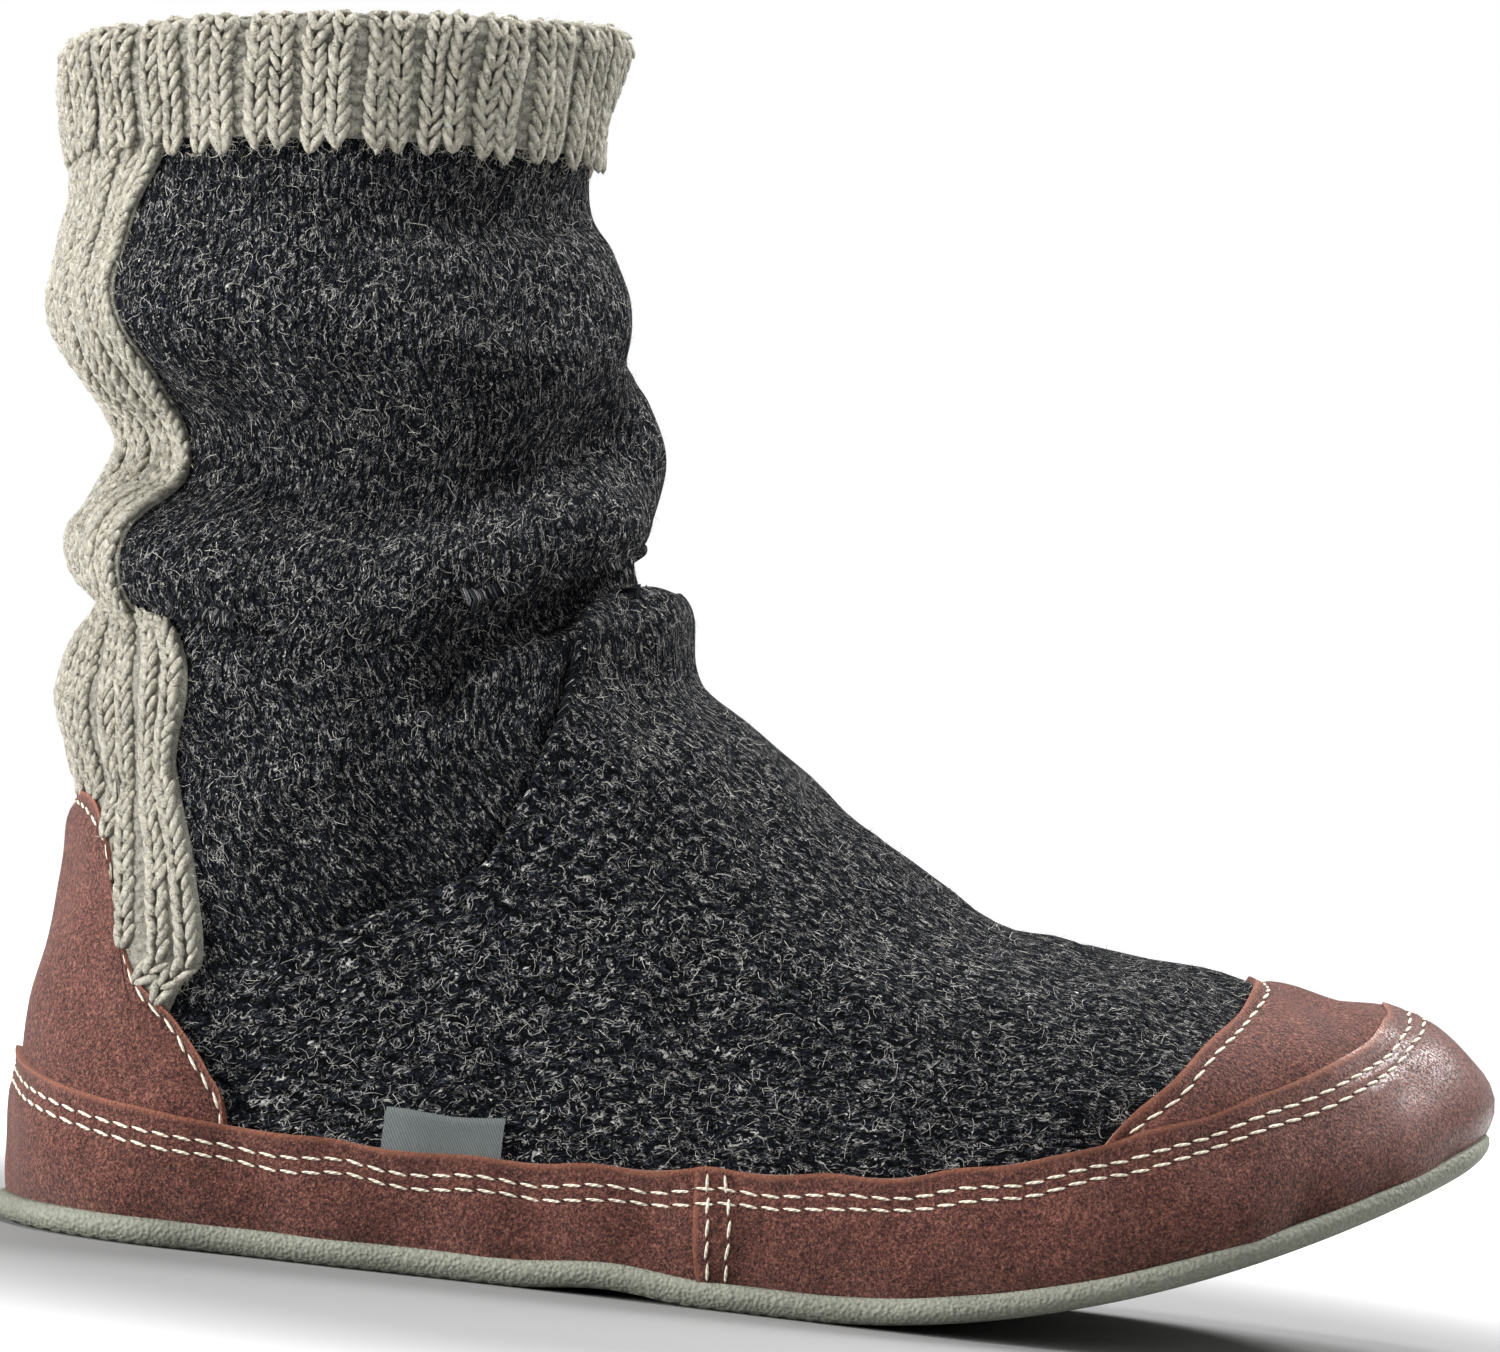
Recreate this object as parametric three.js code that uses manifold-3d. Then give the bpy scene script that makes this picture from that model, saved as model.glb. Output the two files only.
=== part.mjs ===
// A knitted slipper boot for the right foot: a dark ragg wool foot and slouched shaft with a pale ribbed cuff and
// back panel, suede foxing, toe cap and heel counter, a thin rubber outsole and a felt insole.
// Millimetres, +Z up, +X to the toe, -Y the outer side. The origin is on the floor under the middle of the heel.
import * as THREE from 'three';
import { mergeVertices } from 'three/addons/utils/BufferGeometryUtils.js';
import Module from 'manifold-3d';

const wasm = await Module();
wasm.setup();

// Driving sizes of the last and the shaft.
const LENGTH = 283;
const BALL_WIDTH = 102;
const TOE_SPRING = 41;
const ARCH_LIFT = 1.4;
const HEEL_HEIGHT = 83;
const INSTEP_HEIGHT = 133;
const BOOT_HEIGHT = 238;
const SHAFT_DEPTH = 109;
const SHAFT_WIDTH = 78;
const CUFF_HEIGHT = 25;

// Driving sizes of the pieces.
const OUTSOLE = 5.2;
const OUTSOLE_OVERHANG = 0.5;
const INSOLE = 4;
const KNIT_WALL = 2.6;
const ANKLE_STEP = 2.1;
const SUEDE = 1.3;
const FOXING = 2.2;
const FOXING_HEIGHT = 19;
const FOXING_SEAM = 137.5;
const RIB_PITCH = 11.3;
const RIB_RISE = 1;
const PANEL_KNIT = 1.2;
const PANEL_WIDTH = 90;
const CUFF_KNIT = 1.9;
const CUFF_FOLD = 3;
const TAB_LENGTH = 22;
const TAB_HEIGHT = 7.5;
const TAB_THICKNESS = 0.8;
const TAB_START = 74;
const GAP = 0.3;

// How finely the forms are cut, and how far a cut runs past them.
const AROUND = 30;
const SOLE_AROUND = 56;
const POINTS_PER_RIB = 3;
const LINE_STEPS = 24;
const SKIRT = 6;
const FAR = 400;

// The plan of the last. at: share of the length from the heel; half and centre: shares of the ball width.
const PLAN = [
  { at: 0.0, half: 0.345, centre: 0.0 },
  { at: 0.15, half: 0.345, centre: 0.0 },
  { at: 0.3, half: 0.335, centre: -0.015 },
  { at: 0.45, half: 0.35, centre: -0.035 },
  { at: 0.6, half: 0.432, centre: -0.018 },
  { at: 0.7, half: 0.475, centre: 0.004 },
  { at: 0.8, half: 0.47, centre: 0.028 },
  { at: 0.9, half: 0.44, centre: 0.048 },
  { at: 1.0, half: 0.41, centre: 0.058 },
];

// Sections of the foot, from the sole to the ankle. heelIn: how far the heel line stands in, a share of the length;
// heelUp: its height, a share of the heel's; reach: the front end, 0 at the ankle and 1 at the toe; frontUp: its
// height over the sole, a share of the instep; half: the width, a share of the plan's; heelRound and toeRound: the
// lengths of the rounded ends, shares of the length; sag: how far the section follows the sole's curve.
const FOOT = [
  { heelIn: 0.016, heelUp: 0.062, reach: 0.965, frontUp: 0.0, half: 0.95, heelRound: 0.115, toeRound: 0.25, sag: 1 },
  { heelIn: 0.011, heelUp: 0.13, reach: 0.968, frontUp: 0.025, half: 0.985, heelRound: 0.118, toeRound: 0.25, sag: 1 },
  { heelIn: 0.0085, heelUp: 0.24, reach: 0.969, frontUp: 0.062, half: 1, heelRound: 0.12, toeRound: 0.25, sag: 1 },
  { heelIn: 0.0108, heelUp: 0.36, reach: 0.939, frontUp: 0.123, half: 0.99, heelRound: 0.122, toeRound: 0.26, sag: 0.95 },
  { heelIn: 0.0125, heelUp: 0.425, reach: 0.907, frontUp: 0.172, half: 0.985, heelRound: 0.122, toeRound: 0.27, sag: 0.9 },
  { heelIn: 0.0155, heelUp: 0.485, reach: 0.862, frontUp: 0.222, half: 0.98, heelRound: 0.122, toeRound: 0.28, sag: 0.84 },
  { heelIn: 0.017, heelUp: 0.545, reach: 0.762, frontUp: 0.293, half: 0.975, heelRound: 0.124, toeRound: 0.3, sag: 0.78 },
  { heelIn: 0.018, heelUp: 0.6, reach: 0.651, frontUp: 0.372, half: 0.975, heelRound: 0.126, toeRound: 0.31, sag: 0.72 },
  { heelIn: 0.0193, heelUp: 0.66, reach: 0.5, frontUp: 0.445, half: 0.98, heelRound: 0.13, toeRound: 0.3, sag: 0.64 },
  { heelIn: 0.0208, heelUp: 0.72, reach: 0.38, frontUp: 0.51, half: 0.99, heelRound: 0.135, toeRound: 0.28, sag: 0.55 },
  { heelIn: 0.0218, heelUp: 0.785, reach: 0.237, frontUp: 0.625, half: 1, heelRound: 0.14, toeRound: 0.25, sag: 0.45 },
  { heelIn: 0.0232, heelUp: 0.85, reach: 0.12, frontUp: 0.722, half: 1.02, heelRound: 0.15, toeRound: 0.21, sag: 0.33 },
  { heelIn: 0.0258, heelUp: 0.92, reach: 0.031, frontUp: 0.786, half: 1.04, heelRound: 0.16, toeRound: 0.185, sag: 0.2 },
];

// Sections of the shaft, from the ankle up. back and front: shares of its depth, from the heel's back; backUp: share
// of the way from the heel's height to the boot's; frontUp: the same from the instep; wide: a share of the shaft's
// width; oval: how far the section has turned from the last's plan to an oval; droop: how far its sides hang below
// the line from back to front, a share of the depth.
const SHAFT = [
  { back: 0.087, backUp: 0.0, front: 1.101, frontUp: -0.15, wide: 0.96, oval: 0.35, droop: 0 },
  { back: 0.049, backUp: 0.054, front: 1.088, frontUp: -0.059, wide: 0.97, oval: 0.6, droop: 0.01 },
  { back: 0.024, backUp: 0.105, front: 1.06, frontUp: -0.022, wide: 0.97, oval: 0.8, droop: 0.03 },
  { back: 0.04, backUp: 0.172, front: 1.016, frontUp: -0.008, wide: 0.955, oval: 0.9, droop: 0.055 },
  { back: 0.09, backUp: 0.237, front: 0.984, frontUp: 0.063, wide: 0.95, oval: 1, droop: 0.075 },
  { back: 0.035, backUp: 0.274, front: 1.012, frontUp: 0.106, wide: 0.98, oval: 1, droop: 0.09 },
  { back: 0.017, backUp: 0.313, front: 1.024, frontUp: 0.18, wide: 1.04, oval: 1, droop: 0.1 },
  { back: 0.045, backUp: 0.358, front: 1.018, frontUp: 0.25, wide: 1.02, oval: 1, droop: 0.08 },
  { back: 0.079, backUp: 0.43, front: 0.988, frontUp: 0.328, wide: 0.97, oval: 1, droop: 0.03 },
  { back: 0.05, backUp: 0.48, front: 0.957, frontUp: 0.37, wide: 0.975, oval: 1, droop: 0.02 },
  { back: -0.027, backUp: 0.537, front: 0.935, frontUp: 0.415, wide: 0.99, oval: 1, droop: 0.01 },
  { back: -0.061, backUp: 0.596, front: 0.936, frontUp: 0.51, wide: 1.02, oval: 1, droop: 0 },
  { back: -0.052, backUp: 0.662, front: 0.9, frontUp: 0.595, wide: 1.01, oval: 1, droop: 0 },
  { back: -0.041, backUp: 0.725, front: 0.851, frontUp: 0.657, wide: 0.98, oval: 1, droop: 0 },
  { back: -0.06, backUp: 0.815, front: 0.846, frontUp: 0.79, wide: 0.985, oval: 1, droop: 0 },
  { back: -0.08, backUp: 0.87, front: 0.854, frontUp: 0.9, wide: 1, oval: 1, droop: 0 },
  { back: -0.094, backUp: 0.97, front: 0.864, frontUp: 1.06, wide: 1, oval: 1, droop: 0 },
];

// The cuff's top edge. forward: share of the shaft's depth; up: share of the boot's height; tall: the cuff's height
// there, a share of its full one.
const CUFF_EDGE = [
  { forward: -0.4, up: 0.93, tall: 0.8 },
  { forward: -0.12, up: 0.938, tall: 0.82 },
  { forward: 0.02, up: 0.951, tall: 0.88 },
  { forward: 0.17, up: 0.9625, tall: 0.93 },
  { forward: 0.4, up: 0.976, tall: 0.97 },
  { forward: 0.6, up: 0.985, tall: 1 },
  { forward: 0.78, up: 0.992, tall: 1 },
  { forward: 0.9, up: 1, tall: 1.04 },
  { forward: 1.2, up: 1.012, tall: 1.06 },
];

// The foxing's top edge. at: share of the length; up: height over the sole, a share of the foxing's.
const FOXING_EDGE = [
  { at: -0.2, up: 1.8 },
  { at: 0.0, up: 1.52 },
  { at: 0.024, up: 1.3 },
  { at: 0.065, up: 1.135 },
  { at: 0.13, up: 1.02 },
  { at: 0.22, up: 0.95 },
  { at: 0.36, up: 0.94 },
  { at: 0.44, up: 0.98 },
  { at: 0.52, up: 1.12 },
  { at: 0.62, up: 1.2 },
  { at: 0.72, up: 1.3 },
  { at: 0.82, up: 1.36 },
  { at: 0.88, up: 1.4 },
  { at: 0.91, up: 1.53 },
  { at: 0.921, up: 1.72 },
  { at: 0.926, up: 2.6 },
];

// The counter's front edge. at: share of the length from the heel's back; up: share of the heel's height.
const COUNTER_EDGE = [
  { at: -0.2, up: 1.08 },
  { at: 0.022, up: 1.0 },
  { at: 0.046, up: 0.975 },
  { at: 0.059, up: 0.89 },
  { at: 0.067, up: 0.755 },
  { at: 0.083, up: 0.62 },
  { at: 0.116, up: 0.505 },
  { at: 0.14, up: 0.4 },
  { at: 0.152, up: 0.31 },
  { at: 0.156, up: 0.1 },
];

// The toe cap's rear edge. at: share of the length; up: share of the instep's height.
const CAP_EDGE = [
  { at: 0.829, up: 0.75 },
  { at: 0.826, up: 0.535 },
  { at: 0.821, up: 0.487 },
  { at: 0.809, up: 0.457 },
  { at: 0.771, up: 0.376 },
  { at: 0.733, up: 0.298 },
  { at: 0.69, up: 0.15 },
];

// The fold at the ankle, where the foot stands proud of the shaft. forward: share of the shaft's depth; up: share of
// the instep's height. The step grows between the two shares of the depth that follow.
const ANKLE_EDGE = [
  { forward: -0.5, up: 0.3 },
  { forward: 0.2, up: 0.345 },
  { forward: 0.345, up: 0.394 },
  { forward: 0.5, up: 0.444 },
  { forward: 0.71, up: 0.53 },
  { forward: 0.8, up: 0.575 },
  { forward: 0.86, up: 0.674 },
  { forward: 0.89, up: 0.78 },
  { forward: 0.905, up: 0.9 },
  { forward: 0.94, up: 0.972 },
  { forward: 0.985, up: 1.012 },
  { forward: 1.3, up: 1.04 },
];
const STEP_START = 0.4;
const STEP_FULL = 0.65;

// The back panel's edge on the side of the shaft. forward: share of the shaft's depth; up: share of the boot's height.
const PANEL_EDGE = [
  { forward: 0.24, up: 0.1 },
  { forward: 0.3, up: 0.205 },
  { forward: 0.333, up: 0.225 },
  { forward: 0.308, up: 0.29 },
  { forward: 0.262, up: 0.375 },
  { forward: 0.273, up: 0.437 },
  { forward: 0.24, up: 0.48 },
  { forward: 0.14, up: 0.53 },
  { forward: 0.155, up: 0.61 },
  { forward: 0.145, up: 0.69 },
  { forward: 0.075, up: 0.745 },
  { forward: 0.08, up: 0.8 },
  { forward: 0.125, up: 0.88 },
  { forward: 0.14, up: 1.05 },
];

// The outsole's rounded edge, from below up. inset and up: shares of its thickness.
const OUTSOLE_EDGE = [
  { inset: 0.75, up: 0 },
  { inset: 0.22, up: 0.18 },
  { inset: 0, up: 0.5 },
  { inset: 0, up: 1.5 },
];

// Where the outsole rests and where the toe springs up, shares of the length, and the spring's curve.
const HEEL_CENTRE = 0.1625;
const HEEL_FLAT_END = 0.35;
const BALL_FLAT_START = 0.48;
const SPRING_START = 0.55;
const SPRING_CURVE = 1.75;

const clamp01 = (t) => Math.min(1, Math.max(0, t));
const mix = (a, b, t) => a + (b - a) * t;
const ease = (t) => t * t * (3 - 2 * t);

// A smooth curve through a table's rows, read at a place in its first column.
function smooth(rows, key, column, place) {
  let i = 1;
  while (i < rows.length - 1 && place > rows[i][key]) i += 1;
  const slope = (a, b) => (rows[b][column] - rows[a][column]) / (rows[b][key] - rows[a][key]);
  const start = i > 1 ? slope(i - 2, i) : slope(i - 1, i);
  const end = i < rows.length - 1 ? slope(i - 1, i + 1) : slope(i - 1, i);
  const span = rows[i][key] - rows[i - 1][key];
  const t = clamp01((place - rows[i - 1][key]) / span);
  const t2 = t * t;
  const t3 = t2 * t;
  return (
    (2 * t3 - 3 * t2 + 1) * rows[i - 1][column] +
    (t3 - 2 * t2 + t) * span * start +
    (3 * t2 - 2 * t3) * rows[i][column] +
    (t3 - t2) * span * end
  );
}

// The underside of the outsole: flat at heel and forefoot, a low arch between, and the toe sprung.
function soleBottom(x) {
  const at = x / LENGTH;
  const arch = clamp01((at - HEEL_FLAT_END) / (BALL_FLAT_START - HEEL_FLAT_END));
  const spring = Math.max(0, (at - SPRING_START) / (1 - SPRING_START));
  return ARCH_LIFT * Math.sin(Math.PI * arch) ** 2 + TOE_SPRING * spring ** SPRING_CURVE;
}

const soleTop = (x) => soleBottom(x) + OUTSOLE;

const ANKLE_FRONT = SHAFT[0].front * SHAFT_DEPTH;

const footSections = FOOT.map((row) => {
  const frontX = mix(ANKLE_FRONT, LENGTH, row.reach);
  return {
    backX: row.heelIn * LENGTH,
    backZ: Math.max(soleTop(0), row.heelUp * HEEL_HEIGHT),
    frontX,
    frontZ: soleTop(frontX) + row.frontUp * INSTEP_HEIGHT,
    half: row.half,
    wide: 1,
    oval: 0,
    droop: 0,
    heelRound: row.heelRound * LENGTH,
    toeRound: row.toeRound * LENGTH,
    sag: row.sag,
  };
});

const ankleRow = FOOT[FOOT.length - 1];
const shaftSections = SHAFT.map((row) => ({
  backX: row.back * SHAFT_DEPTH,
  backZ: mix(HEEL_HEIGHT, BOOT_HEIGHT, row.backUp),
  frontX: row.front * SHAFT_DEPTH,
  frontZ: mix(INSTEP_HEIGHT, BOOT_HEIGHT, row.frontUp),
  half: ankleRow.half,
  wide: row.wide,
  oval: row.oval,
  droop: row.droop * SHAFT_DEPTH,
  heelRound: ankleRow.heelRound * LENGTH,
  toeRound: ankleRow.toeRound * LENGTH,
  sag: 0,
}));

const sections = [...footSections, ...shaftSections];

const roundEnd = (t) => Math.sqrt(1 - (1 - clamp01(t)) ** 2);

// A point on a section. turn is 0 at the front, a quarter at the inner side and half a turn at the back.
function sectionPoint(section, turn) {
  const angle = turn * 2 * Math.PI;
  const back = (1 - Math.cos(angle)) / 2;
  const x = mix(section.frontX, section.backX, back);
  const fromHeel = roundEnd((x - section.backX) / section.heelRound);
  const fromToe = roundEnd((section.frontX - x) / section.toeRound);
  const at = clamp01(x / LENGTH);
  const lastHalf = BALL_WIDTH * smooth(PLAN, 'at', 'half', at) * section.half * fromHeel * fromToe;
  const ovalHalf = (SHAFT_WIDTH / 2) * section.wide * Math.abs(Math.sin(angle));
  const centre = BALL_WIDTH * smooth(PLAN, 'at', 'centre', at);
  const y = Math.sign(Math.sin(angle)) * mix(lastHalf, ovalHalf, section.oval) + mix(centre, 0, section.oval);
  const line = mix(section.frontZ, section.backZ, back);
  const soleLine = mix(soleTop(section.frontX), soleTop(section.backX), back);
  const z = line + section.sag * (soleTop(x) - soleLine) - section.droop * Math.sin(angle) ** 2;
  return new THREE.Vector3(x, y, z);
}

const evenTurns = (count) => Array.from({ length: count }, (_, i) => i / count);

// The skin's points with their outward directions, one ring for each section.
function skin(turns) {
  const rings = sections.map((section) => turns.map((turn) => sectionPoint(section, turn)));
  const count = turns.length;
  return rings.map((ring, j) =>
    ring.map((point, i) => {
      const around = ring[(i + 1) % count].clone().sub(ring[(i + count - 1) % count]);
      const above = rings[Math.min(j + 1, rings.length - 1)][i];
      const below = rings[Math.max(j - 1, 0)][i];
      return { point, out: around.cross(above.clone().sub(below)).normalize() };
    }),
  );
}

function toSolid(geometry) {
  const bare = geometry.clone();
  bare.deleteAttribute('normal');
  bare.deleteAttribute('uv');
  const merged = mergeVertices(bare, 1e-4);
  return new wasm.Manifold(
    new wasm.Mesh({
      numProp: 3,
      vertProperties: new Float32Array(merged.attributes.position.array),
      triVerts: new Uint32Array(merged.index.array),
    }),
  );
}

// A closed solid over rings of points, all of one length, from the lowest up. Both ends are closed straight across,
// from each point to the one opposite it at the same place along the foot.
function loft(rings) {
  const count = rings[0].length;
  const corners = [];
  const quad = (a, b, c, d) => corners.push(a, b, c, a, c, d);
  for (let j = 0; j < rings.length - 1; j += 1) {
    for (let i = 0; i < count; i += 1) {
      const next = (i + 1) % count;
      quad(rings[j][i], rings[j][next], rings[j + 1][next], rings[j + 1][i]);
    }
  }
  const bottom = rings[0];
  const top = rings[rings.length - 1];
  for (let i = 0; i < count / 2; i += 1) {
    const across = (count - i) % count;
    const before = count - i - 1;
    if (i === 0) {
      corners.push(top[0], top[1], top[before], bottom[0], bottom[before], bottom[1]);
    } else if (i === count / 2 - 1) {
      corners.push(top[i], top[i + 1], top[across], bottom[i], bottom[across], bottom[i + 1]);
    } else {
      quad(top[i], top[i + 1], top[before], top[across]);
      quad(bottom[i], bottom[across], bottom[before], bottom[i + 1]);
    }
  }
  return toSolid(new THREE.BufferGeometry().setFromPoints(corners));
}

// The whole boot's form, with its skin moved out by reach, which may depend on the place and the column. It runs a
// little below the sole's top, so that it can be cut there.
function form(reach, turns = evenTurns(AROUND)) {
  const rings = skin(turns).map((ring) =>
    ring.map(({ point, out }, i) => point.clone().addScaledVector(out, reach(point, i))),
  );
  const skirt = rings[0].map((point) => point.clone().setZ(point.z - SKIRT));
  return loft([skirt, ...rings]);
}

// The ankle step: nothing over the heel, and the full step from the side of the ankle to the toe.
const step = (x) => ANKLE_STEP * ease(clamp01((x / SHAFT_DEPTH - STEP_START) / (STEP_FULL - STEP_START)));
const shaftForm = (reach) => form(() => reach);
const footForm = (reach) => form((point) => reach + step(point.x));

// A line in the side view, moved sideways by a distance: up is positive on a line that runs to the front.
function moved(line, distance) {
  return line.map((point, i) => {
    const along = line[Math.min(i + 1, line.length - 1)].clone().sub(line[Math.max(i - 1, 0)]).normalize();
    return new THREE.Vector2(point.x - along.y * distance, point.y + along.x * distance);
  });
}

// A block across the boot, with its outline in the side view.
function across(outline, fromY = -FAR, toY = FAR) {
  const geometry = new THREE.ExtrudeGeometry(new THREE.Shape(outline), { depth: toY - fromY, bevelEnabled: false });
  geometry.rotateX(Math.PI / 2);
  geometry.translate(0, toY, 0);
  return toSolid(geometry);
}

const side = (x, z) => new THREE.Vector2(x, z);
const lineOf = (rows, key, lengthwise, upwards) => rows.map((row) => side(row[key] * lengthwise, row.up * upwards));

// Places along the boot for lines that follow a curve, past both its ends.
const stations = Array.from({ length: LINE_STEPS + 1 }, (_, i) => mix(-0.2, 1.2, i / LINE_STEPS) * LENGTH);
const soleLine = (lift) => stations.map((x) => side(x, soleTop(x) + lift));
const overSole = (lift) => across([...soleLine(lift), side(FAR, FAR), side(-FAR, FAR)]);

const foxingLine = FOXING_EDGE.map((row) =>
  side(row.at * LENGTH, soleTop(row.at * LENGTH) + row.up * FOXING_HEIGHT),
);
const foxingBlock = (grow) =>
  across([side(-FAR, -FAR), side(FAR, -FAR), side(FAR, FAR), ...moved(foxingLine, grow).reverse()]);

const counterLine = lineOf(COUNTER_EDGE, 'at', LENGTH, HEEL_HEIGHT);
const counterBlock = (grow) => across([side(-FAR, -FAR), side(-FAR, HEEL_HEIGHT), ...moved(counterLine, grow)]);

const capLine = lineOf(CAP_EDGE, 'at', LENGTH, INSTEP_HEIGHT);
const capBlock = across([side(FAR, -FAR), side(FAR, FAR), ...capLine]);

const ankleLine = lineOf(ANKLE_EDGE, 'forward', SHAFT_DEPTH, INSTEP_HEIGHT);
const below = (line, grow) => across([side(-FAR, -FAR), ...moved(line, grow), side(FAR, FAR), side(FAR, -FAR)]);
const footBlock = (grow) => below(ankleLine, grow);

const panelLine = lineOf(PANEL_EDGE, 'forward', SHAFT_DEPTH, BOOT_HEIGHT);
const panelBlock = across([side(-FAR, FAR), side(-FAR, -FAR), ...panelLine]);

const collarLine = lineOf(CUFF_EDGE, 'forward', SHAFT_DEPTH, BOOT_HEIGHT);
const underCollar = (grow) => below(collarLine, grow);
const cuffHem = collarLine.map((point, i) => side(point.x, point.y - CUFF_EDGE[i].tall * CUFF_HEIGHT));
const overHem = (grow) => across([...moved(cuffHem, grow), side(FAR, FAR), side(-FAR, FAR)]);

const onSole = overSole(GAP);
const overFoxing = onSole.subtract(foxingBlock(GAP));

// Turns at even distances around the cuff, starting from the front.
function turnsByDistance(section, count, samples = 720) {
  const points = Array.from({ length: samples + 1 }, (_, i) => sectionPoint(section, i / samples));
  const run = [0];
  for (let i = 1; i <= samples; i += 1) run.push(run[i - 1] + points[i].distanceTo(points[i - 1]));
  const turns = [];
  for (let k = 0, i = 0; k < count; k += 1) {
    const wanted = (k / count) * run[samples];
    while (run[i + 1] < wanted) i += 1;
    turns.push((i + (wanted - run[i]) / (run[i + 1] - run[i])) / samples);
  }
  return { turns, around: run[samples] };
}

const cuffSection = sections[sections.length - 2];
const RIBS = 2 * Math.round(turnsByDistance(cuffSection, 1).around / RIB_PITCH / 2);
const ribTurns = turnsByDistance(cuffSection, RIBS * POINTS_PER_RIB).turns;
// All but one of each rib's columns stand up, and that one lies between two ribs.
const ribRise = (column) => (column % POINTS_PER_RIB > 0 ? RIB_RISE : 0);
// The panel's columns follow the ribs over the back, and the even turns elsewhere.
const panelReach = PANEL_WIDTH / 2 / turnsByDistance(cuffSection, 1).around;
const ribColumns = ribTurns
  .map((turn, column) => ({ turn, rise: ribRise(column), fromBack: Math.abs(column / ribTurns.length - 0.5) }))
  .filter((column) => column.fromBack <= panelReach);
const plainColumns = evenTurns(AROUND)
  .filter((turn) => Math.abs(turn - 0.5) > 0.5 - ribColumns[0].turn + 0.5 / AROUND)
  .map((turn) => ({ turn, rise: 0 }));
const panelColumns = [...ribColumns, ...plainColumns].sort((a, b) => a.turn - b.turn);

const group = new THREE.Group();
function addPart(name, solid, colour, roughness) {
  const mesh = solid.getMesh();
  const geometry = new THREE.BufferGeometry();
  geometry.setAttribute('position', new THREE.BufferAttribute(new Float32Array(mesh.vertProperties), 3));
  geometry.setIndex(new THREE.BufferAttribute(new Uint32Array(mesh.triVerts), 1));
  geometry.translate(-HEEL_CENTRE * LENGTH, 0, 0);
  geometry.computeVertexNormals();
  const part = new THREE.Mesh(geometry, new THREE.MeshStandardMaterial({ color: colour, roughness, metalness: 0 }));
  part.name = name;
  group.add(part);
}

// The outsole: a rubber sheet a little wider than the foxing, with a rounded edge.
function outsole() {
  const widest = skin(evenTurns(SOLE_AROUND))[2];
  const rings = OUTSOLE_EDGE.map((row) =>
    widest.map(({ point, out }) => {
      const reach = step(point.x) + GAP + FOXING + OUTSOLE_OVERHANG - row.inset * OUTSOLE;
      const flat = out.clone().setZ(0).normalize();
      const edge = point.clone().addScaledVector(flat, reach);
      return edge.setZ(soleBottom(edge.x) + row.up * OUTSOLE);
    }),
  );
  return loft(rings).subtract(overSole(0));
}

// The knitted upper: one hollow wall, open at the collar and underneath, with the foot standing proud at the ankle.
function upper() {
  const outside = shaftForm(0).add(footForm(0).intersect(footBlock(0)));
  const inside = shaftForm(-KNIT_WALL).add(footForm(-KNIT_WALL).intersect(footBlock(-KNIT_WALL)));
  return outside.subtract(inside).intersect(onSole).intersect(underCollar(-CUFF_FOLD - GAP));
}

function insole() {
  const inside = footForm(-KNIT_WALL - GAP);
  const sheet = overSole(GAP).subtract(overSole(GAP + INSOLE));
  return inside.intersect(sheet);
}

// Suede that lies on the foot: thick is its thickness over the knit.
const footShell = (thick) => footForm(GAP + thick).subtract(footForm(GAP));
const betweenX = (from, to, fromY, toY) =>
  across([side(from, -FAR), side(to, -FAR), side(to, FAR), side(from, FAR)], fromY, toY);

function foxingFront() {
  const band = footShell(FOXING).intersect(foxingBlock(0)).intersect(onSole);
  return band.intersect(betweenX(FOXING_SEAM + GAP / 2, FAR));
}

function foxingRear() {
  const band = footShell(FOXING).intersect(foxingBlock(0)).intersect(onSole);
  return band.intersect(betweenX(-FAR, FOXING_SEAM - GAP / 2));
}

const toeCap = () => footShell(SUEDE).intersect(capBlock).intersect(overFoxing);
const heelCounter = () => footShell(SUEDE).intersect(counterBlock(0)).intersect(overFoxing);

// The back panel: a ribbed strip that widens over the ankle, from the cuff down to the counter and the foxing.
function backPanel() {
  const reach = (point, column) => GAP + PANEL_KNIT + panelColumns[column].rise;
  const ribbed = form(reach, panelColumns.map((column) => column.turn));
  const strip = ribbed.subtract(shaftForm(GAP)).intersect(panelBlock).intersect(overFoxing);
  return strip.subtract(counterBlock(GAP)).subtract(overHem(-GAP));
}

// The cuff: a ribbed band around the shaft, folded over its top edge.
function cuff() {
  const ribbed = form((point, column) => GAP + CUFF_KNIT + ribRise(column), ribTurns);
  const band = ribbed.intersect(underCollar(0)).intersect(overHem(0));
  const fold = band.subtract(underCollar(-CUFF_FOLD));
  return band.subtract(shaftForm(GAP)).add(fold.subtract(shaftForm(-KNIT_WALL)));
}

// A short woven tab that stands up out of the foxing's top edge on the outer side.
function sideTab() {
  const patch = footForm(GAP + TAB_THICKNESS).subtract(footForm(GAP));
  const place = betweenX(TAB_START, TAB_START + TAB_LENGTH, -FAR, 0).intersect(foxingBlock(TAB_HEIGHT));
  return patch.intersect(place).subtract(foxingBlock(GAP));
}

addPart('outsole', outsole(), 0x9aa090, 0.85);
addPart('insole', insole(), 0x6f6a62, 0.95);
addPart('upper', upper(), 0x3e4046, 0.95);
addPart('foxing_rear', foxingRear(), 0x7a4238, 0.9);
addPart('foxing_front', foxingFront(), 0x7a4238, 0.9);
addPart('toe_cap', toeCap(), 0x83493c, 0.9);
addPart('heel_counter', heelCounter(), 0x83493c, 0.9);
addPart('back_panel', backPanel(), 0xc9c2a8, 0.95);
addPart('cuff', cuff(), 0xcfc8ae, 0.95);
addPart('side_tab', sideTab(), 0x7b8080, 0.9);

export default group;
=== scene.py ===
import math

import bpy
import numpy as np
from mathutils import Matrix, Vector


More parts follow.
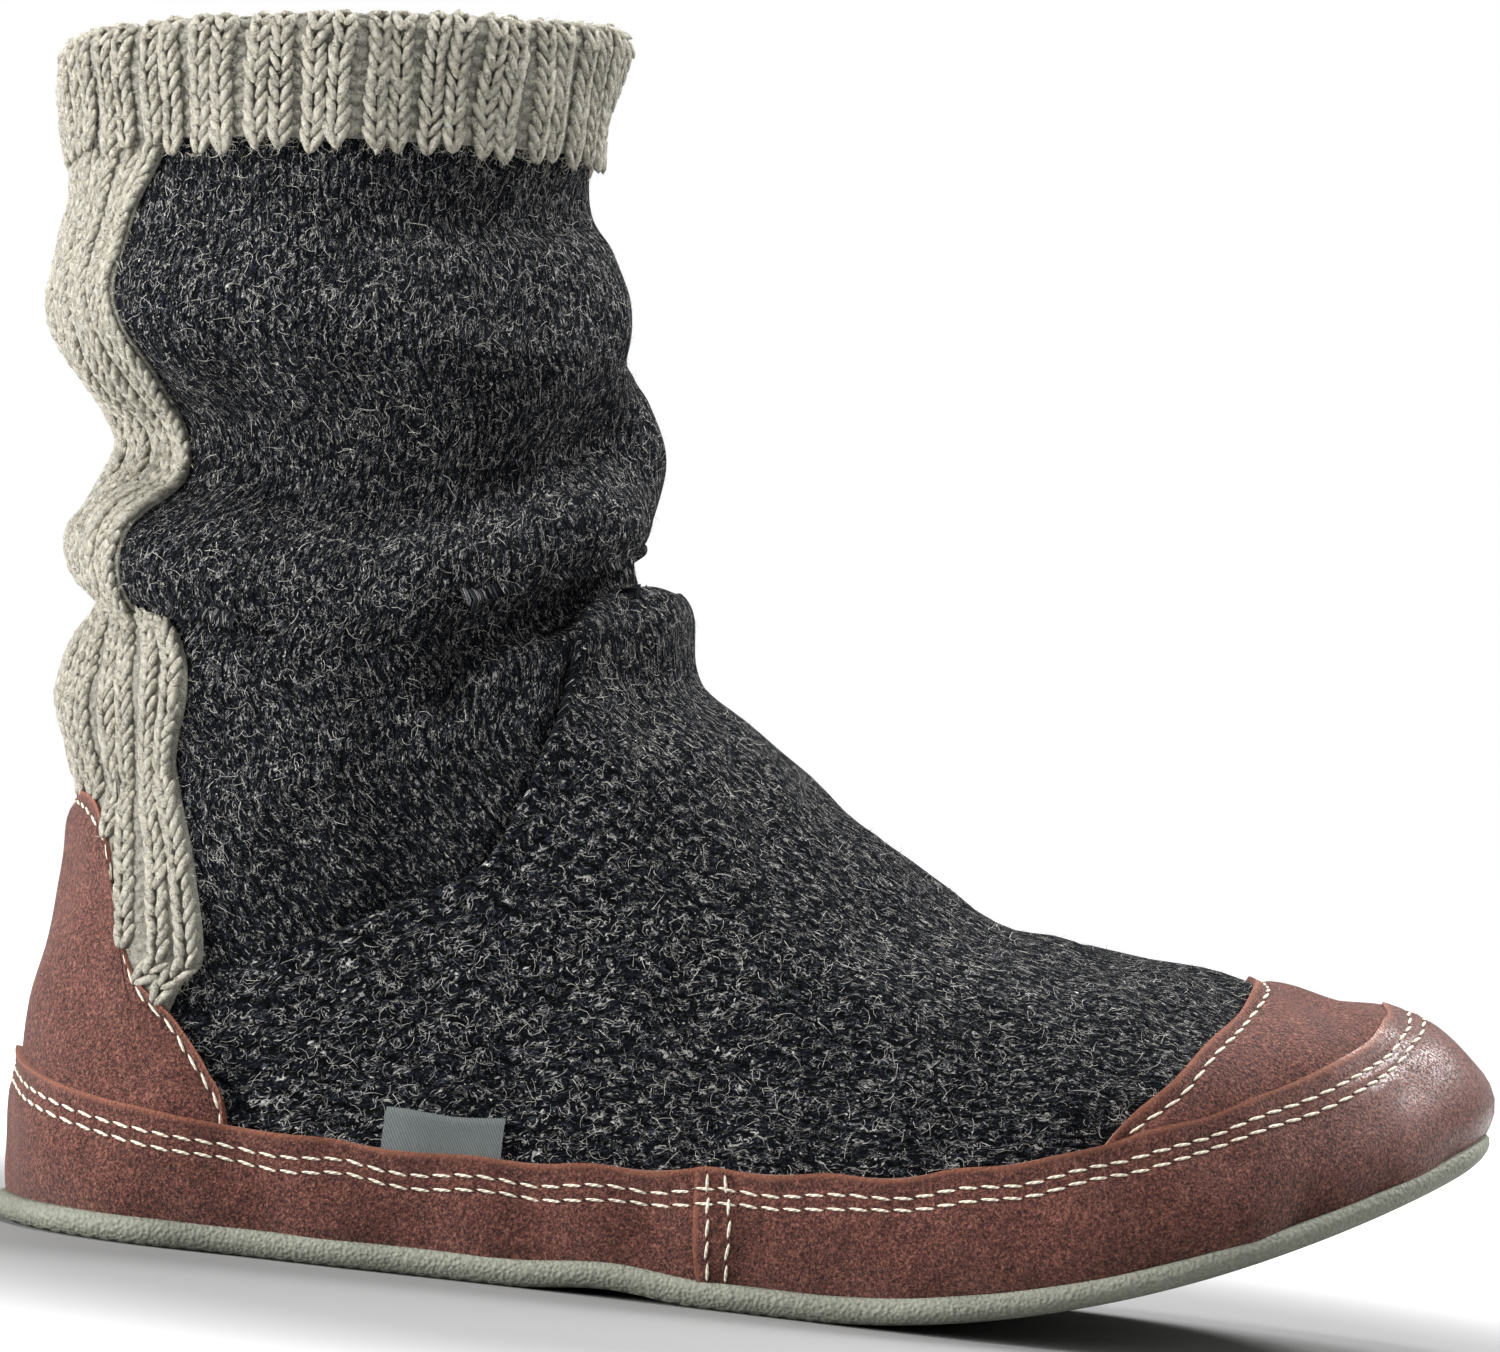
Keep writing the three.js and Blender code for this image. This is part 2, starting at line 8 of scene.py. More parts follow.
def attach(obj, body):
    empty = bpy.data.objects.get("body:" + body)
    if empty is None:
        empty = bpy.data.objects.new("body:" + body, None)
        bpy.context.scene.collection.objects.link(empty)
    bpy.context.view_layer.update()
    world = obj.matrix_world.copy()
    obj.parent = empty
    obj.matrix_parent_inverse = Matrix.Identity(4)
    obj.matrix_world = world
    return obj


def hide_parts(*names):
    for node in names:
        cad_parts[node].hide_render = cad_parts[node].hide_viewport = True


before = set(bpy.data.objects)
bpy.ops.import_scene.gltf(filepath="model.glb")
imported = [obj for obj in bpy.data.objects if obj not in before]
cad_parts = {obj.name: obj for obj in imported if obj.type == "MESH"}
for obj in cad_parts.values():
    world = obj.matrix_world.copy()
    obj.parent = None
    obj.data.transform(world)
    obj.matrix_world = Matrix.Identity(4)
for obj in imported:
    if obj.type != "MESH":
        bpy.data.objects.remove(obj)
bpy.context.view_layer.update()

# The outsole: a thin sheet of grey-green rubber, moulded with a pebbled rounded edge and glued under the
# foxing. Its outline is the widest row of the last, whose sizes and rows are those of the construction.
LENGTH = 0.283
BALL_WIDTH = 0.102
TOE_SPRING = 0.041
ARCH_LIFT = 0.0014
HEEL_HEIGHT = 0.083
INSTEP_HEIGHT = 0.133
BOOT_HEIGHT = 0.238
SHAFT_DEPTH = 0.109
SHAFT_WIDTH = 0.078
HEEL_SPOT = (0.1625 * LENGTH, 0, 0)
HEEL_FLAT_END = 0.35
BALL_FLAT_START = 0.48
SPRING_START = 0.55
SPRING_CURVE = 1.75
OUTSOLE = 0.0052
OUTSOLE_OVERHANG = 0.0005
FOXING = 0.0022
GAP = 0.0003
ANKLE_STEP = 0.0021
STEP_START = 0.4
STEP_FULL = 0.65
WIDEST_ROW = 2
TURN_STEP = 0.002
ROW_STEP = 0.06


def table(columns, *rows):
    """A short table with named columns."""
    return dict(zip(columns.split(), np.array(rows, float).T))


# at: share of the length from the heel; half and centre: shares of the ball width.
PLAN = table(
    "at half centre",
    (0.0, 0.345, 0.0),
    (0.15, 0.345, 0.0),
    (0.3, 0.335, -0.015),
    (0.45, 0.35, -0.035),
    (0.6, 0.432, -0.018),
    (0.7, 0.475, 0.004),
    (0.8, 0.47, 0.028),
    (0.9, 0.44, 0.048),
    (1.0, 0.41, 0.058),
)

# Rows of the foot, from the sole to the ankle, in shares of the length, the heel's height, the instep's
# height and the plan's width.
FOOT = table(
    "heel_in heel_up reach front_up half heel_round toe_round sag",
    (0.016, 0.062, 0.965, 0.0, 0.95, 0.115, 0.25, 1),
    (0.011, 0.13, 0.968, 0.025, 0.985, 0.118, 0.25, 1),
    (0.0085, 0.24, 0.969, 0.062, 1, 0.12, 0.25, 1),
    (0.0108, 0.36, 0.939, 0.123, 0.99, 0.122, 0.26, 0.95),
    (0.0125, 0.425, 0.907, 0.172, 0.985, 0.122, 0.27, 0.9),
    (0.0155, 0.485, 0.862, 0.222, 0.98, 0.122, 0.28, 0.84),
    (0.017, 0.545, 0.762, 0.293, 0.975, 0.124, 0.3, 0.78),
    (0.018, 0.6, 0.651, 0.372, 0.975, 0.126, 0.31, 0.72),
    (0.0193, 0.66, 0.5, 0.445, 0.98, 0.13, 0.3, 0.64),
    (0.0208, 0.72, 0.38, 0.51, 0.99, 0.135, 0.28, 0.55),
    (0.0218, 0.785, 0.237, 0.625, 1, 0.14, 0.25, 0.45),
    (0.0232, 0.85, 0.12, 0.722, 1.02, 0.15, 0.21, 0.33),
    (0.0258, 0.92, 0.031, 0.786, 1.04, 0.16, 0.185, 0.2),
)

# Rows of the shaft, from the ankle up, in shares of its depth, of the way from the heel's height or the
# instep's to the boot's, and of the shaft's width.
SHAFT = table(
    "back back_up front front_up wide oval droop",
    (0.087, 0.0, 1.101, -0.15, 0.96, 0.35, 0),
    (0.049, 0.054, 1.088, -0.059, 0.97, 0.6, 0.01),
    (0.024, 0.105, 1.06, -0.022, 0.97, 0.8, 0.03),
    (0.04, 0.172, 1.016, -0.008, 0.955, 0.9, 0.055),
    (0.09, 0.237, 0.984, 0.063, 0.95, 1, 0.075),
    (0.035, 0.274, 1.012, 0.106, 0.98, 1, 0.09),
    (0.017, 0.313, 1.024, 0.18, 1.04, 1, 0.1),
    (0.045, 0.358, 1.018, 0.25, 1.02, 1, 0.08),
    (0.079, 0.43, 0.988, 0.328, 0.97, 1, 0.03),
    (0.05, 0.48, 0.957, 0.37, 0.975, 1, 0.02),
    (-0.027, 0.537, 0.935, 0.415, 0.99, 1, 0.01),
    (-0.061, 0.596, 0.936, 0.51, 1.02, 1, 0),
    (-0.052, 0.662, 0.9, 0.595, 1.01, 1, 0),
    (-0.041, 0.725, 0.851, 0.657, 0.98, 1, 0),
    (-0.06, 0.815, 0.846, 0.79, 0.985, 1, 0),
    (-0.08, 0.87, 0.854, 0.9, 1, 1, 0),
    (-0.094, 0.97, 0.864, 1.06, 1, 1, 0),
)


def mix(a, b, t):
    return a + (b - a) * t


def ease(t):
    t = np.clip(t, 0, 1)
    return t * t * (3 - 2 * t)


def curve(rows, key, column, place):
    """A smooth curve through a table's rows, read at places in its key column."""
    at = rows[key]
    value = rows[column]
    slope = np.empty_like(value)
    slope[1:-1] = (value[2:] - value[:-2]) / (at[2:] - at[:-2])
    slope[0] = (value[1] - value[0]) / (at[1] - at[0])
    slope[-1] = (value[-1] - value[-2]) / (at[-1] - at[-2])
    i = np.clip(np.searchsorted(at, place) - 1, 0, len(at) - 2)
    span = at[i + 1] - at[i]
    t = np.clip((place - at[i]) / span, 0, 1)
    start = (2 * t**3 - 3 * t**2 + 1) * value[i] + (t**3 - 2 * t**2 + t) * span * slope[i]
    return start + (3 * t**2 - 2 * t**3) * value[i + 1] + (t**3 - t**2) * span * slope[i + 1]


def sole_bottom(x):
    """The underside of the outsole: flat at heel and forefoot, a low arch between, and the toe sprung."""
    at = x / LENGTH
    arch = np.clip((at - HEEL_FLAT_END) / (BALL_FLAT_START - HEEL_FLAT_END), 0, 1)
    spring = np.maximum(0, (at - SPRING_START) / (1 - SPRING_START))
    return ARCH_LIFT * np.sin(np.pi * arch) ** 2 + TOE_SPRING * spring**SPRING_CURVE


def sole_top(x):
    return sole_bottom(x) + OUTSOLE


ANKLE_FRONT = SHAFT["front"][0] * SHAFT_DEPTH
FOOT_FRONT = mix(ANKLE_FRONT, LENGTH, FOOT["reach"])
SHAFT_ROWS = np.ones(len(SHAFT["back"]))
FOOT_ROWS = np.ones(len(FOOT["reach"]))
FORM = {
    "row": np.arange(len(FOOT_ROWS) + len(SHAFT_ROWS), dtype=float),
    "back_x": [FOOT["heel_in"] * LENGTH, SHAFT["back"] * SHAFT_DEPTH],
    "back_z": [
        np.maximum(sole_top(0), FOOT["heel_up"] * HEEL_HEIGHT),
        mix(HEEL_HEIGHT, BOOT_HEIGHT, SHAFT["back_up"]),
    ],
    "front_x": [FOOT_FRONT, SHAFT["front"] * SHAFT_DEPTH],
    "front_z": [
        sole_top(FOOT_FRONT) + FOOT["front_up"] * INSTEP_HEIGHT,
        mix(INSTEP_HEIGHT, BOOT_HEIGHT, SHAFT["front_up"]),
    ],
    "half": [FOOT["half"], FOOT["half"][-1] * SHAFT_ROWS],
    "wide": [FOOT_ROWS, SHAFT["wide"]],
    "oval": [0 * FOOT_ROWS, SHAFT["oval"]],
    "droop": [0 * FOOT_ROWS, SHAFT["droop"] * SHAFT_DEPTH],
    "heel_round": [FOOT["heel_round"] * LENGTH, FOOT["heel_round"][-1] * LENGTH * SHAFT_ROWS],
    "toe_round": [FOOT["toe_round"] * LENGTH, FOOT["toe_round"][-1] * LENGTH * SHAFT_ROWS],
    "sag": [FOOT["sag"], 0 * SHAFT_ROWS],
}
FORM = {name: np.concatenate(two) if name != "row" else two for name, two in FORM.items()}
TOP_ROW = FORM["row"][-1]


def round_end(t):
    return np.sqrt(1 - (1 - np.clip(t, 0, 1)) ** 2)


def on_last(row, turn):
    """Points on the last. turn is 0 in front, a quarter at the inner side and half a turn at the back."""
    row = np.clip(row, 0, TOP_ROW)
    now = {name: curve(FORM, "row", name, row) for name in FORM if name != "row"}
    angle = 2 * np.pi * turn
    back = (1 - np.cos(angle)) / 2
    x = mix(now["front_x"], now["back_x"], back)
    from_heel = round_end((x - now["back_x"]) / now["heel_round"])
    from_toe = round_end((now["front_x"] - x) / now["toe_round"])
    at = np.clip(x / LENGTH, 0, 1)
    last_half = BALL_WIDTH * curve(PLAN, "at", "half", at) * now["half"] * from_heel * from_toe
    oval_half = SHAFT_WIDTH / 2 * now["wide"] * np.abs(np.sin(angle))
    centre = BALL_WIDTH * curve(PLAN, "at", "centre", at) * (1 - now["oval"])
    y = np.sign(np.sin(angle)) * mix(last_half, oval_half, now["oval"]) + centre
    sole_line = mix(sole_top(now["front_x"]), sole_top(now["back_x"]), back)
    line = mix(now["front_z"], now["back_z"], back)
    z = line + now["sag"] * (sole_top(x) - sole_line) - now["droop"] * np.sin(angle) ** 2
    return np.stack([x, y, z], -1)


def unit(vectors):
    return vectors / np.maximum(np.linalg.norm(vectors, axis=-1, keepdims=True), 1e-12)


def facing(surface, row, turn):
    """The outward directions of a surface that is given by row and turn."""
    around = surface(row, turn + TURN_STEP) - surface(row, turn - TURN_STEP)
    up = surface(row + ROW_STEP, turn) - surface(row - ROW_STEP, turn)
    return unit(np.cross(around, up))


def step(x):
    """How far the foot stands out over the shaft: nothing at the heel, all from the ankle's side on."""
    return ANKLE_STEP * ease((x / SHAFT_DEPTH - STEP_START) / (STEP_FULL - STEP_START))


def even_turns(row, count, start=0.0, stop=1.0):
    """Turns from start to stop at even distances along a row of the last."""
    fine = np.linspace(start, stop, 2400)
    points = on_last(np.full_like(fine, row), fine)
    run = np.concatenate([[0], np.cumsum(np.linalg.norm(np.diff(points, axis=0), axis=1))])
    return np.interp(np.linspace(0, run[-1], count + 1), run, fine)


def lay(name, points, uv=None):
    """A grid whose points are put in place, rows by columns; what meets is merged."""
    rows, columns = points.shape[0] - 1, points.shape[1] - 1
    bpy.ops.object.select_all(action="DESELECT")
    bpy.ops.mesh.primitive_grid_add(x_subdivisions=columns, y_subdivisions=rows, size=2)
    piece = bpy.context.object
    piece.name = name
    mesh = piece.data
    flat = np.zeros(len(mesh.vertices) * 3)
    mesh.vertices.foreach_get("co", flat)
    flat = flat.reshape(-1, 3)
    i = np.rint((flat[:, 0] + 1) / 2 * columns).astype(int)
    j = np.rint((flat[:, 1] + 1) / 2 * rows).astype(int)
    mesh.vertices.foreach_set("co", (points[j, i] - HEEL_SPOT).ravel())
    if uv is not None:
        corner = np.zeros(len(mesh.loops), int)
        mesh.loops.foreach_get("vertex_index", corner)
        mesh.uv_layers[0].data.foreach_set("uv", uv[j, i][corner].ravel())
    bpy.ops.object.mode_set(mode="EDIT")
    bpy.ops.mesh.select_all(action="SELECT")
    bpy.ops.mesh.remove_doubles(threshold=2e-6)
    bpy.ops.object.mode_set(mode="OBJECT")
    return piece


def modify(piece, kind, **settings):
    """Adds a modifier with its settings and applies it."""
    bpy.context.view_layer.objects.active = piece
    made = piece.modifiers.new(kind.title(), kind)
    for name, value in settings.items():
        setattr(made, name, value)
    bpy.ops.object.modifier_apply(modifier=made.name)


def smooth(piece, degrees=180):
    bpy.ops.object.select_all(action="DESELECT")
    piece.select_set(True)
    bpy.context.view_layer.objects.active = piece
    if degrees < 180:
        bpy.ops.object.shade_smooth_by_angle(angle=math.radians(degrees))
    else:
        bpy.ops.object.shade_smooth()


class Wire:
    """A socket in a material. Sums, products and so on of wires and numbers add its Math nodes."""

    def __init__(self, tree, socket):
        self.tree = tree
        self.socket = socket

    def maths(self, operation, *values):
        node = self.tree.nodes.new("ShaderNodeMath")
        node.operation = operation
        for plug, value in zip(node.inputs, values):
            feed(self.tree, plug, value)
        return Wire(self.tree, node.outputs[0])

    def __add__(self, other):
        return self.maths("ADD", self, other)

    def __radd__(self, other):
        return self.maths("ADD", other, self)

    def __sub__(self, other):
        return self.maths("SUBTRACT", self, other)

    def __rsub__(self, other):
        return self.maths("SUBTRACT", other, self)

    def __mul__(self, other):
        return self.maths("MULTIPLY", self, other)

    def __rmul__(self, other):
        return self.maths("MULTIPLY", other, self)

    def fraction(self):
        return self.maths("FRACT", self)

    def folded(self, length):
        return self.maths("PINGPONG", self, length)


def feed(tree, plug, value):
    if isinstance(value, Wire):
        tree.links.new(value.socket, plug)
    else:
        plug.default_value = value


class Paint:
    """A material and its nodes."""

    def __init__(self, name, **shader):
        self.material = bpy.data.materials.new(name)
        self.material.use_nodes = True
        self.tree = self.material.node_tree
        for socket, value in shader.items():
            self.shader(socket.replace("_", " "), value)

    def shader(self, socket, value):
        feed(self.tree, self.tree.nodes["Principled BSDF"].inputs[socket], value)

    def node(self, kind, settings, sockets, out=0):
        made = self.tree.nodes.new("ShaderNode" + kind)
        for name, value in settings.items():
            if name == "stops":
                ramp = made.color_ramp.elements
                while len(ramp) < len(value):
                    ramp.new(1.0)
                for stop, (place, colour) in zip(ramp, value):
                    stop.position = place
                    stop.color = colour
            else:
                setattr(made, name, value)
        for name, value in sockets.items():
            feed(self.tree, made.inputs[name], value)
        return Wire(self.tree, made.outputs[out])

    def place(self, kind="Object"):
        return self.node("TexCoord", {}, {}, kind)

    def part(self, vector, axis):
        return self.node("SeparateXYZ", {}, {"Vector": vector}, axis)

    def noise(self, place, scale, detail=2.0, rough=0.5, distortion=0.0):
        sockets = {"Vector": place, "Scale": scale, "Detail": detail}
        return self.node("TexNoise", {}, sockets | {"Roughness": rough, "Distortion": distortion})

    def soft(self, value, low, high):
        sockets = {"Value": value, "From Min": low, "From Max": high}
        return self.node("MapRange", {"interpolation_type": "SMOOTHSTEP"}, sockets)

    def filaments(self, place, scale, width, broken):
        """Thin curly lines, 1 on each and 0 between them, that break off here and there."""
        middle = self.noise(place, scale, 1.5, 0.5, 1.3) - 0.5
        line = 1 - self.soft(middle.maths("ABSOLUTE", middle), width * 0.25, width)
        return line * self.soft(self.noise(place, scale * 0.63, 1.0), 0.5 - broken, 0.5 + broken)

    def blend(self, share, a, b):
        return self.node("Mix", {"data_type": "RGBA"}, {0: share, 6: a, 7: b}, 2)

    def ramp(self, value, *stops):
        return self.node("ValToRGB", {"stops": stops}, {"Fac": value})

    def bump(self, height, distance):
        sockets = {"Distance": distance, "Height": height, "Strength": 1.0}
        self.shader("Normal", self.node("Bump", {}, sockets))

    def on(self, *pieces):
        for piece in pieces:
            piece.data.materials.clear()
            piece.data.materials.append(self.material)


def shade(red, green, blue):
    """A colour as it is seen on a screen, from 0 to 255, as the shader wants it."""
    seen = np.array([red, green, blue]) / 255
    light = np.where(seen < 0.04045, seen / 12.92, ((seen + 0.055) / 1.055) ** 2.4)
    return (*light, 1.0)


# How the outsole's side is rounded, from under it to its top: inset and up are shares of its thickness.
SOLE_SIDE = table(
    "inset up",
    (1.9, 0.0),
    (0.75, 0.0),
    (0.42, 0.05),
    (0.2, 0.18),
    (0.05, 0.36),
    (0.0, 0.55),
    (0.04, 0.8),
    (0.14, 0.95),
    (0.3, 1.0),
    (1.4, 1.0),
)
SOLE_STATIONS = 220
SOLE_ACROSS = 10


def sole_side(turn):
    """The profile of the outsole's side at each turn, from under it to its top."""
    flat = facing(on_last, np.full_like(turn, WIDEST_ROW), turn) * np.array([1, 1, 0])
    widest = on_last(np.full_like(turn, WIDEST_ROW), turn)
    reach = step(widest[:, 0]) + GAP + FOXING + OUTSOLE_OVERHANG - SOLE_SIDE["inset"][:, None] * OUTSOLE
    edge = widest + unit(flat) * reach[..., None]
    edge[..., 2] = sole_bottom(edge[..., 0]) + SOLE_SIDE["up"][:, None] * OUTSOLE
    return edge


sole_turns = even_turns(WIDEST_ROW, SOLE_STATIONS, 0, 0.5)
inner_side = sole_side(sole_turns)
outer_side = sole_side(1 - sole_turns)
shares = np.linspace(0, 1, SOLE_ACROSS + 1)[1:-1, None, None]
under = mix(outer_side[0], inner_side[0], shares)
over_top = mix(inner_side[-1], outer_side[-1], shares)
all_round = [outer_side[::-1], under, inner_side, over_top, outer_side[-1:]]
outsole = lay("outsole_rubber", np.concatenate(all_round))
smooth(outsole, 50)

rubber = Paint("Outsole rubber", Roughness=0.62, Specular_IOR_Level=0.35)
spot = rubber.place()
cells = {"Vector": spot, "Scale": 1250.0, "Smoothness": 0.6}
pebbles = rubber.node("TexVoronoi", {"feature": "SMOOTH_F1"}, cells)
grain = rubber.noise(spot, 1500.0, 3.0)
patch = rubber.noise(spot, 30.0, 3.0)
wave = rubber.node("TexWave", {"wave_profile": "SIN"}, {"Vector": spot, "Scale": 95.0, "Distortion": 1.5})
normal = rubber.node("NewGeometry", {}, {}, "Normal")
underneath = 1 - rubber.soft(rubber.part(normal, 2), -0.95, -0.8)
rubber.shader("Base Color", rubber.ramp(
    patch * 0.5 + grain * 0.5,
    (0.3, shade(102, 104, 93)),
    (0.5, shade(130, 132, 119)),
    (0.7, shade(156, 158, 144)),
))
rubber.bump(pebbles * 0.8 + grain * 0.3 + wave * underneath * 2.0, 0.0004)
rubber.on(outsole)
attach(outsole, "root")
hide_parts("outsole")

# The insole: a sheet of grey wool felt that lies loose inside on the outsole.
# Its outline is the inside of the knitted foot, and only its felted top shows, down through the collar.
felt = Paint("Insole felt", Roughness=0.95, Sheen_Weight=0.3, Sheen_Roughness=0.5)
spot = felt.place()
matted = felt.noise(spot, 900.0, 5.0, 0.7, 0.6)
clumps = felt.noise(spot, 140.0, 3.0)
felt.shader("Base Color", felt.ramp(
    matted * 0.6 + clumps * 0.4,
    (0.32, shade(78, 74, 68)),
    (0.5, shade(108, 103, 95)),
    (0.68, shade(142, 137, 127)),
))
felt.bump(matted * 0.7 + clumps * 0.3, 0.0005)
felt.on(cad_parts["insole"])

# The foot of the upper: a felted knit of dark heathered wool, cut with its wales along the foot and sewn
# round the last. It stands over the shaft's knit at the ankle with a rolled lip.
KNIT_WALL = 0.0026
FOOT_COLUMNS = 400
FOOT_UP = 77
FOOT_WALES = 62
HALF_FOOT = 0.042
FOOT_TOP = len(FOOT["reach"])
ANKLE_ROW = FOOT_TOP - 1
INSTEP_SLOPE = math.radians(40)
COURSE = 0.0014
LIP_SWELL = 0.0005
LIP_REACH = 0.004

# How the lip rolls over inwards past its top edge, in shares of the foot's rows.
LIP_ROLL = table(
    "up inwards",
    (1.006, 0.0003),
    (1.009, 0.0009),
    (1.009, 0.0017),
    (1.007, 0.0024),
)

# The fold at the ankle, in shares of the shaft's depth and the instep's height.
ANKLE_EDGE = table(
    "forward up",
    (-0.5, 0.3),
    (0.2, 0.345),
    (0.345, 0.394),
    (0.5, 0.444),
    (0.71, 0.53),
    (0.8, 0.575),
    (0.86, 0.674),
    (0.89, 0.78),
    (0.905, 0.9),
    (0.94, 0.95),
    (0.985, 0.972),
    (1.3, 0.985),
)

# The creases of the slouched shaft and the ridges between them, on lines in the side view. Each line has a
# height, negative for a trough, a half width, and places forward in shares of the shaft's depth and up in
# shares of the boot's height.
CREASES = (
    (0.0056, 0.0095, (0.17, 0.52), (0.43, 0.5), (0.62, 0.52), (0.75, 0.55), (0.93, 0.6)),
    (-0.0088, 0.009, (0.13, 0.62), (0.4, 0.612), (0.53, 0.606), (0.72, 0.612), (0.85, 0.645), (0.95, 0.675)),
    (0.0060, 0.0110, (0.14, 0.725), (0.37, 0.735), (0.58, 0.745)),
    (0.0046, 0.0075, (0.6, 0.722), (0.79, 0.725), (0.93, 0.75)),
    (-0.0028, 0.0060, (0.87, 0.85), (0.7, 0.825), (0.5, 0.815)),
    (-0.0050, 0.0050, (0.9, 0.545), (0.73, 0.495), (0.7, 0.455)),
    (0.0022, 0.0030, (0.95, 0.542), (0.88, 0.486), (0.856, 0.443)),
    (0.0040, 0.0130, (0.28, 0.425), (0.52, 0.4)),
)
INNER_FORWARD = 0.006
INNER_DOWN = 0.005
CREASE_START = 0.02
RIPPLES = 9
RIPPLE_HEIGHT = 0.00022
RIPPLE_LENGTHS = (0.013, 0.034)

ripple_seed = np.random.default_rng(11)
ripple_way = unit(ripple_seed.normal(size=(RIPPLES, 3)))
ripple_way = ripple_way * (2 * np.pi / ripple_seed.uniform(*RIPPLE_LENGTHS, (RIPPLES, 1)))
ripple_start = ripple_seed.uniform(0, 2 * np.pi, RIPPLES)


def from_line(x, z, places):
    """Distances in the side view to a line of places, in shares of the shaft's depth and boot's height."""
    nearest = np.full(np.shape(x), 1.0)
    ends = np.array(places) * (SHAFT_DEPTH, BOOT_HEIGHT)
    for (x0, z0), (x1, z1) in zip(ends[:-1], ends[1:]):
        along = ((x - x0) * (x1 - x0) + (z - z0) * (z1 - z0)) / ((x1 - x0) ** 2 + (z1 - z0) ** 2)
        along = np.clip(along, 0, 1)
        nearest = np.minimum(nearest, np.hypot(x - mix(x0, x1, along), z - mix(z0, z1, along)))
    return nearest


def creased(point):
    """How far the knit stands out of the last's form, or is sunk into it."""
    x, y, z = point[..., 0], point[..., 1], point[..., 2]
    beside = ease(np.abs(y) / CREASE_START)
    inner = y > 0
    folds = 0
    for high, wide, *places in CREASES:
        away = from_line(x - inner * INNER_FORWARD, z + inner * INNER_DOWN, places)
        folds = folds + high * np.exp(-((away / wide) ** 2))
    ripple = np.sin(point @ ripple_way.T + ripple_start).sum(-1)
    return folds * beside + ripple * RIPPLE_HEIGHT


def slouched(row, turn):
    """The last's form with the knit's creases and ripples."""
    point = on_last(row, turn)
    return point + facing(on_last, row, turn) * creased(point)[..., None]


def over(row, turn, reach):
    """Points that far out from the slouched form."""
    return slouched(row, turn) + facing(slouched, row, turn) * np.asarray(reach)[..., None]


def halved(past, low, high):
    """Where, between low and high, past turns true."""
    for _ in range(32):
        middle = (low + high) / 2
        far = past(middle)
        high = np.where(far, middle, high)
        low = np.where(far, low, middle)
    return (low + high) / 2


def row_at(turn, beyond, low=0.0, high=TOP_ROW):
    """The row at which each column passes a line. beyond says how far past the line a point is."""
    low = np.broadcast_to(low, turn.shape)
    high = np.broadcast_to(high, turn.shape)
    return halved(lambda row: beyond(on_last(row, turn)) > 0, low, high)


def past(height, lift):
    """How far points are past an edge, whose height depends on how far forward it is, moved up by lift."""
    return lambda point: point[..., 2] - height(point[..., 0]) - lift


def ankle_height(x):
    return curve(ANKLE_EDGE, "forward", "up", x / SHAFT_DEPTH) * INSTEP_HEIGHT


def distances(points, axis):
    """Distances run along a grid of points in one of its directions."""
    gaps = np.linalg.norm(np.diff(points, axis=axis), axis=-1)
    start = np.zeros_like(np.take(gaps, [0], axis=axis))
    return np.concatenate([start, np.cumsum(gaps, axis=axis)], axis=axis)


foot_turns = even_turns(3, FOOT_COLUMNS)
lip_row = row_at(foot_turns, past(ankle_height, 0))
upright = FOOT_UP + 1 - len(LIP_ROLL["up"])
up = np.concatenate([np.linspace(0, 1, upright), LIP_ROLL["up"]])
curl = np.concatenate([np.zeros(upright), LIP_ROLL["inwards"]])
foot_row = up[:, None] * lip_row
foot_turn = np.broadcast_to(foot_turns, foot_row.shape)
plain = on_last(foot_row, foot_turn)
from_lip = np.maximum(0, distances(plain, 0)[-1] - distances(plain, 0))
standing = step(plain[..., 0])
swell = LIP_SWELL * np.exp(-((from_lip / LIP_REACH) ** 2)) * standing / ANKLE_STEP
foot_points = over(foot_row, foot_turn, standing + swell - curl[:, None])
# Wales run lengthwise: level along the sole, and along the ridge of the instep at the top.
ridge = on_last(np.linspace(0, ANKLE_ROW, 300), np.zeros(300))
ridge = np.concatenate([ridge, ridge[-1:] + [-0.15, 0, 0.14]])
forward, aside, height = np.moveaxis(foot_points, -1, 0)
ridge_height = np.interp(forward, ridge[::-1, 0], ridge[::-1, 2])
share_up = (height - sole_top(forward)) / (ridge_height - sole_top(forward))
girth = 2 / np.pi * np.arctan2(np.clip(share_up, 0, 1.2), np.abs(aside) / HALF_FOOT) * FOOT_WALES
lengthwise = forward * math.cos(INSTEP_SLOPE) - height * math.sin(INSTEP_SLOPE)
foot_uv = np.stack([girth, lengthwise / COURSE], -1)
foot_knit = lay("foot_knit", foot_points, foot_uv)
modify(foot_knit, "SOLIDIFY", thickness=KNIT_WALL, offset=-1)
smooth(foot_knit)


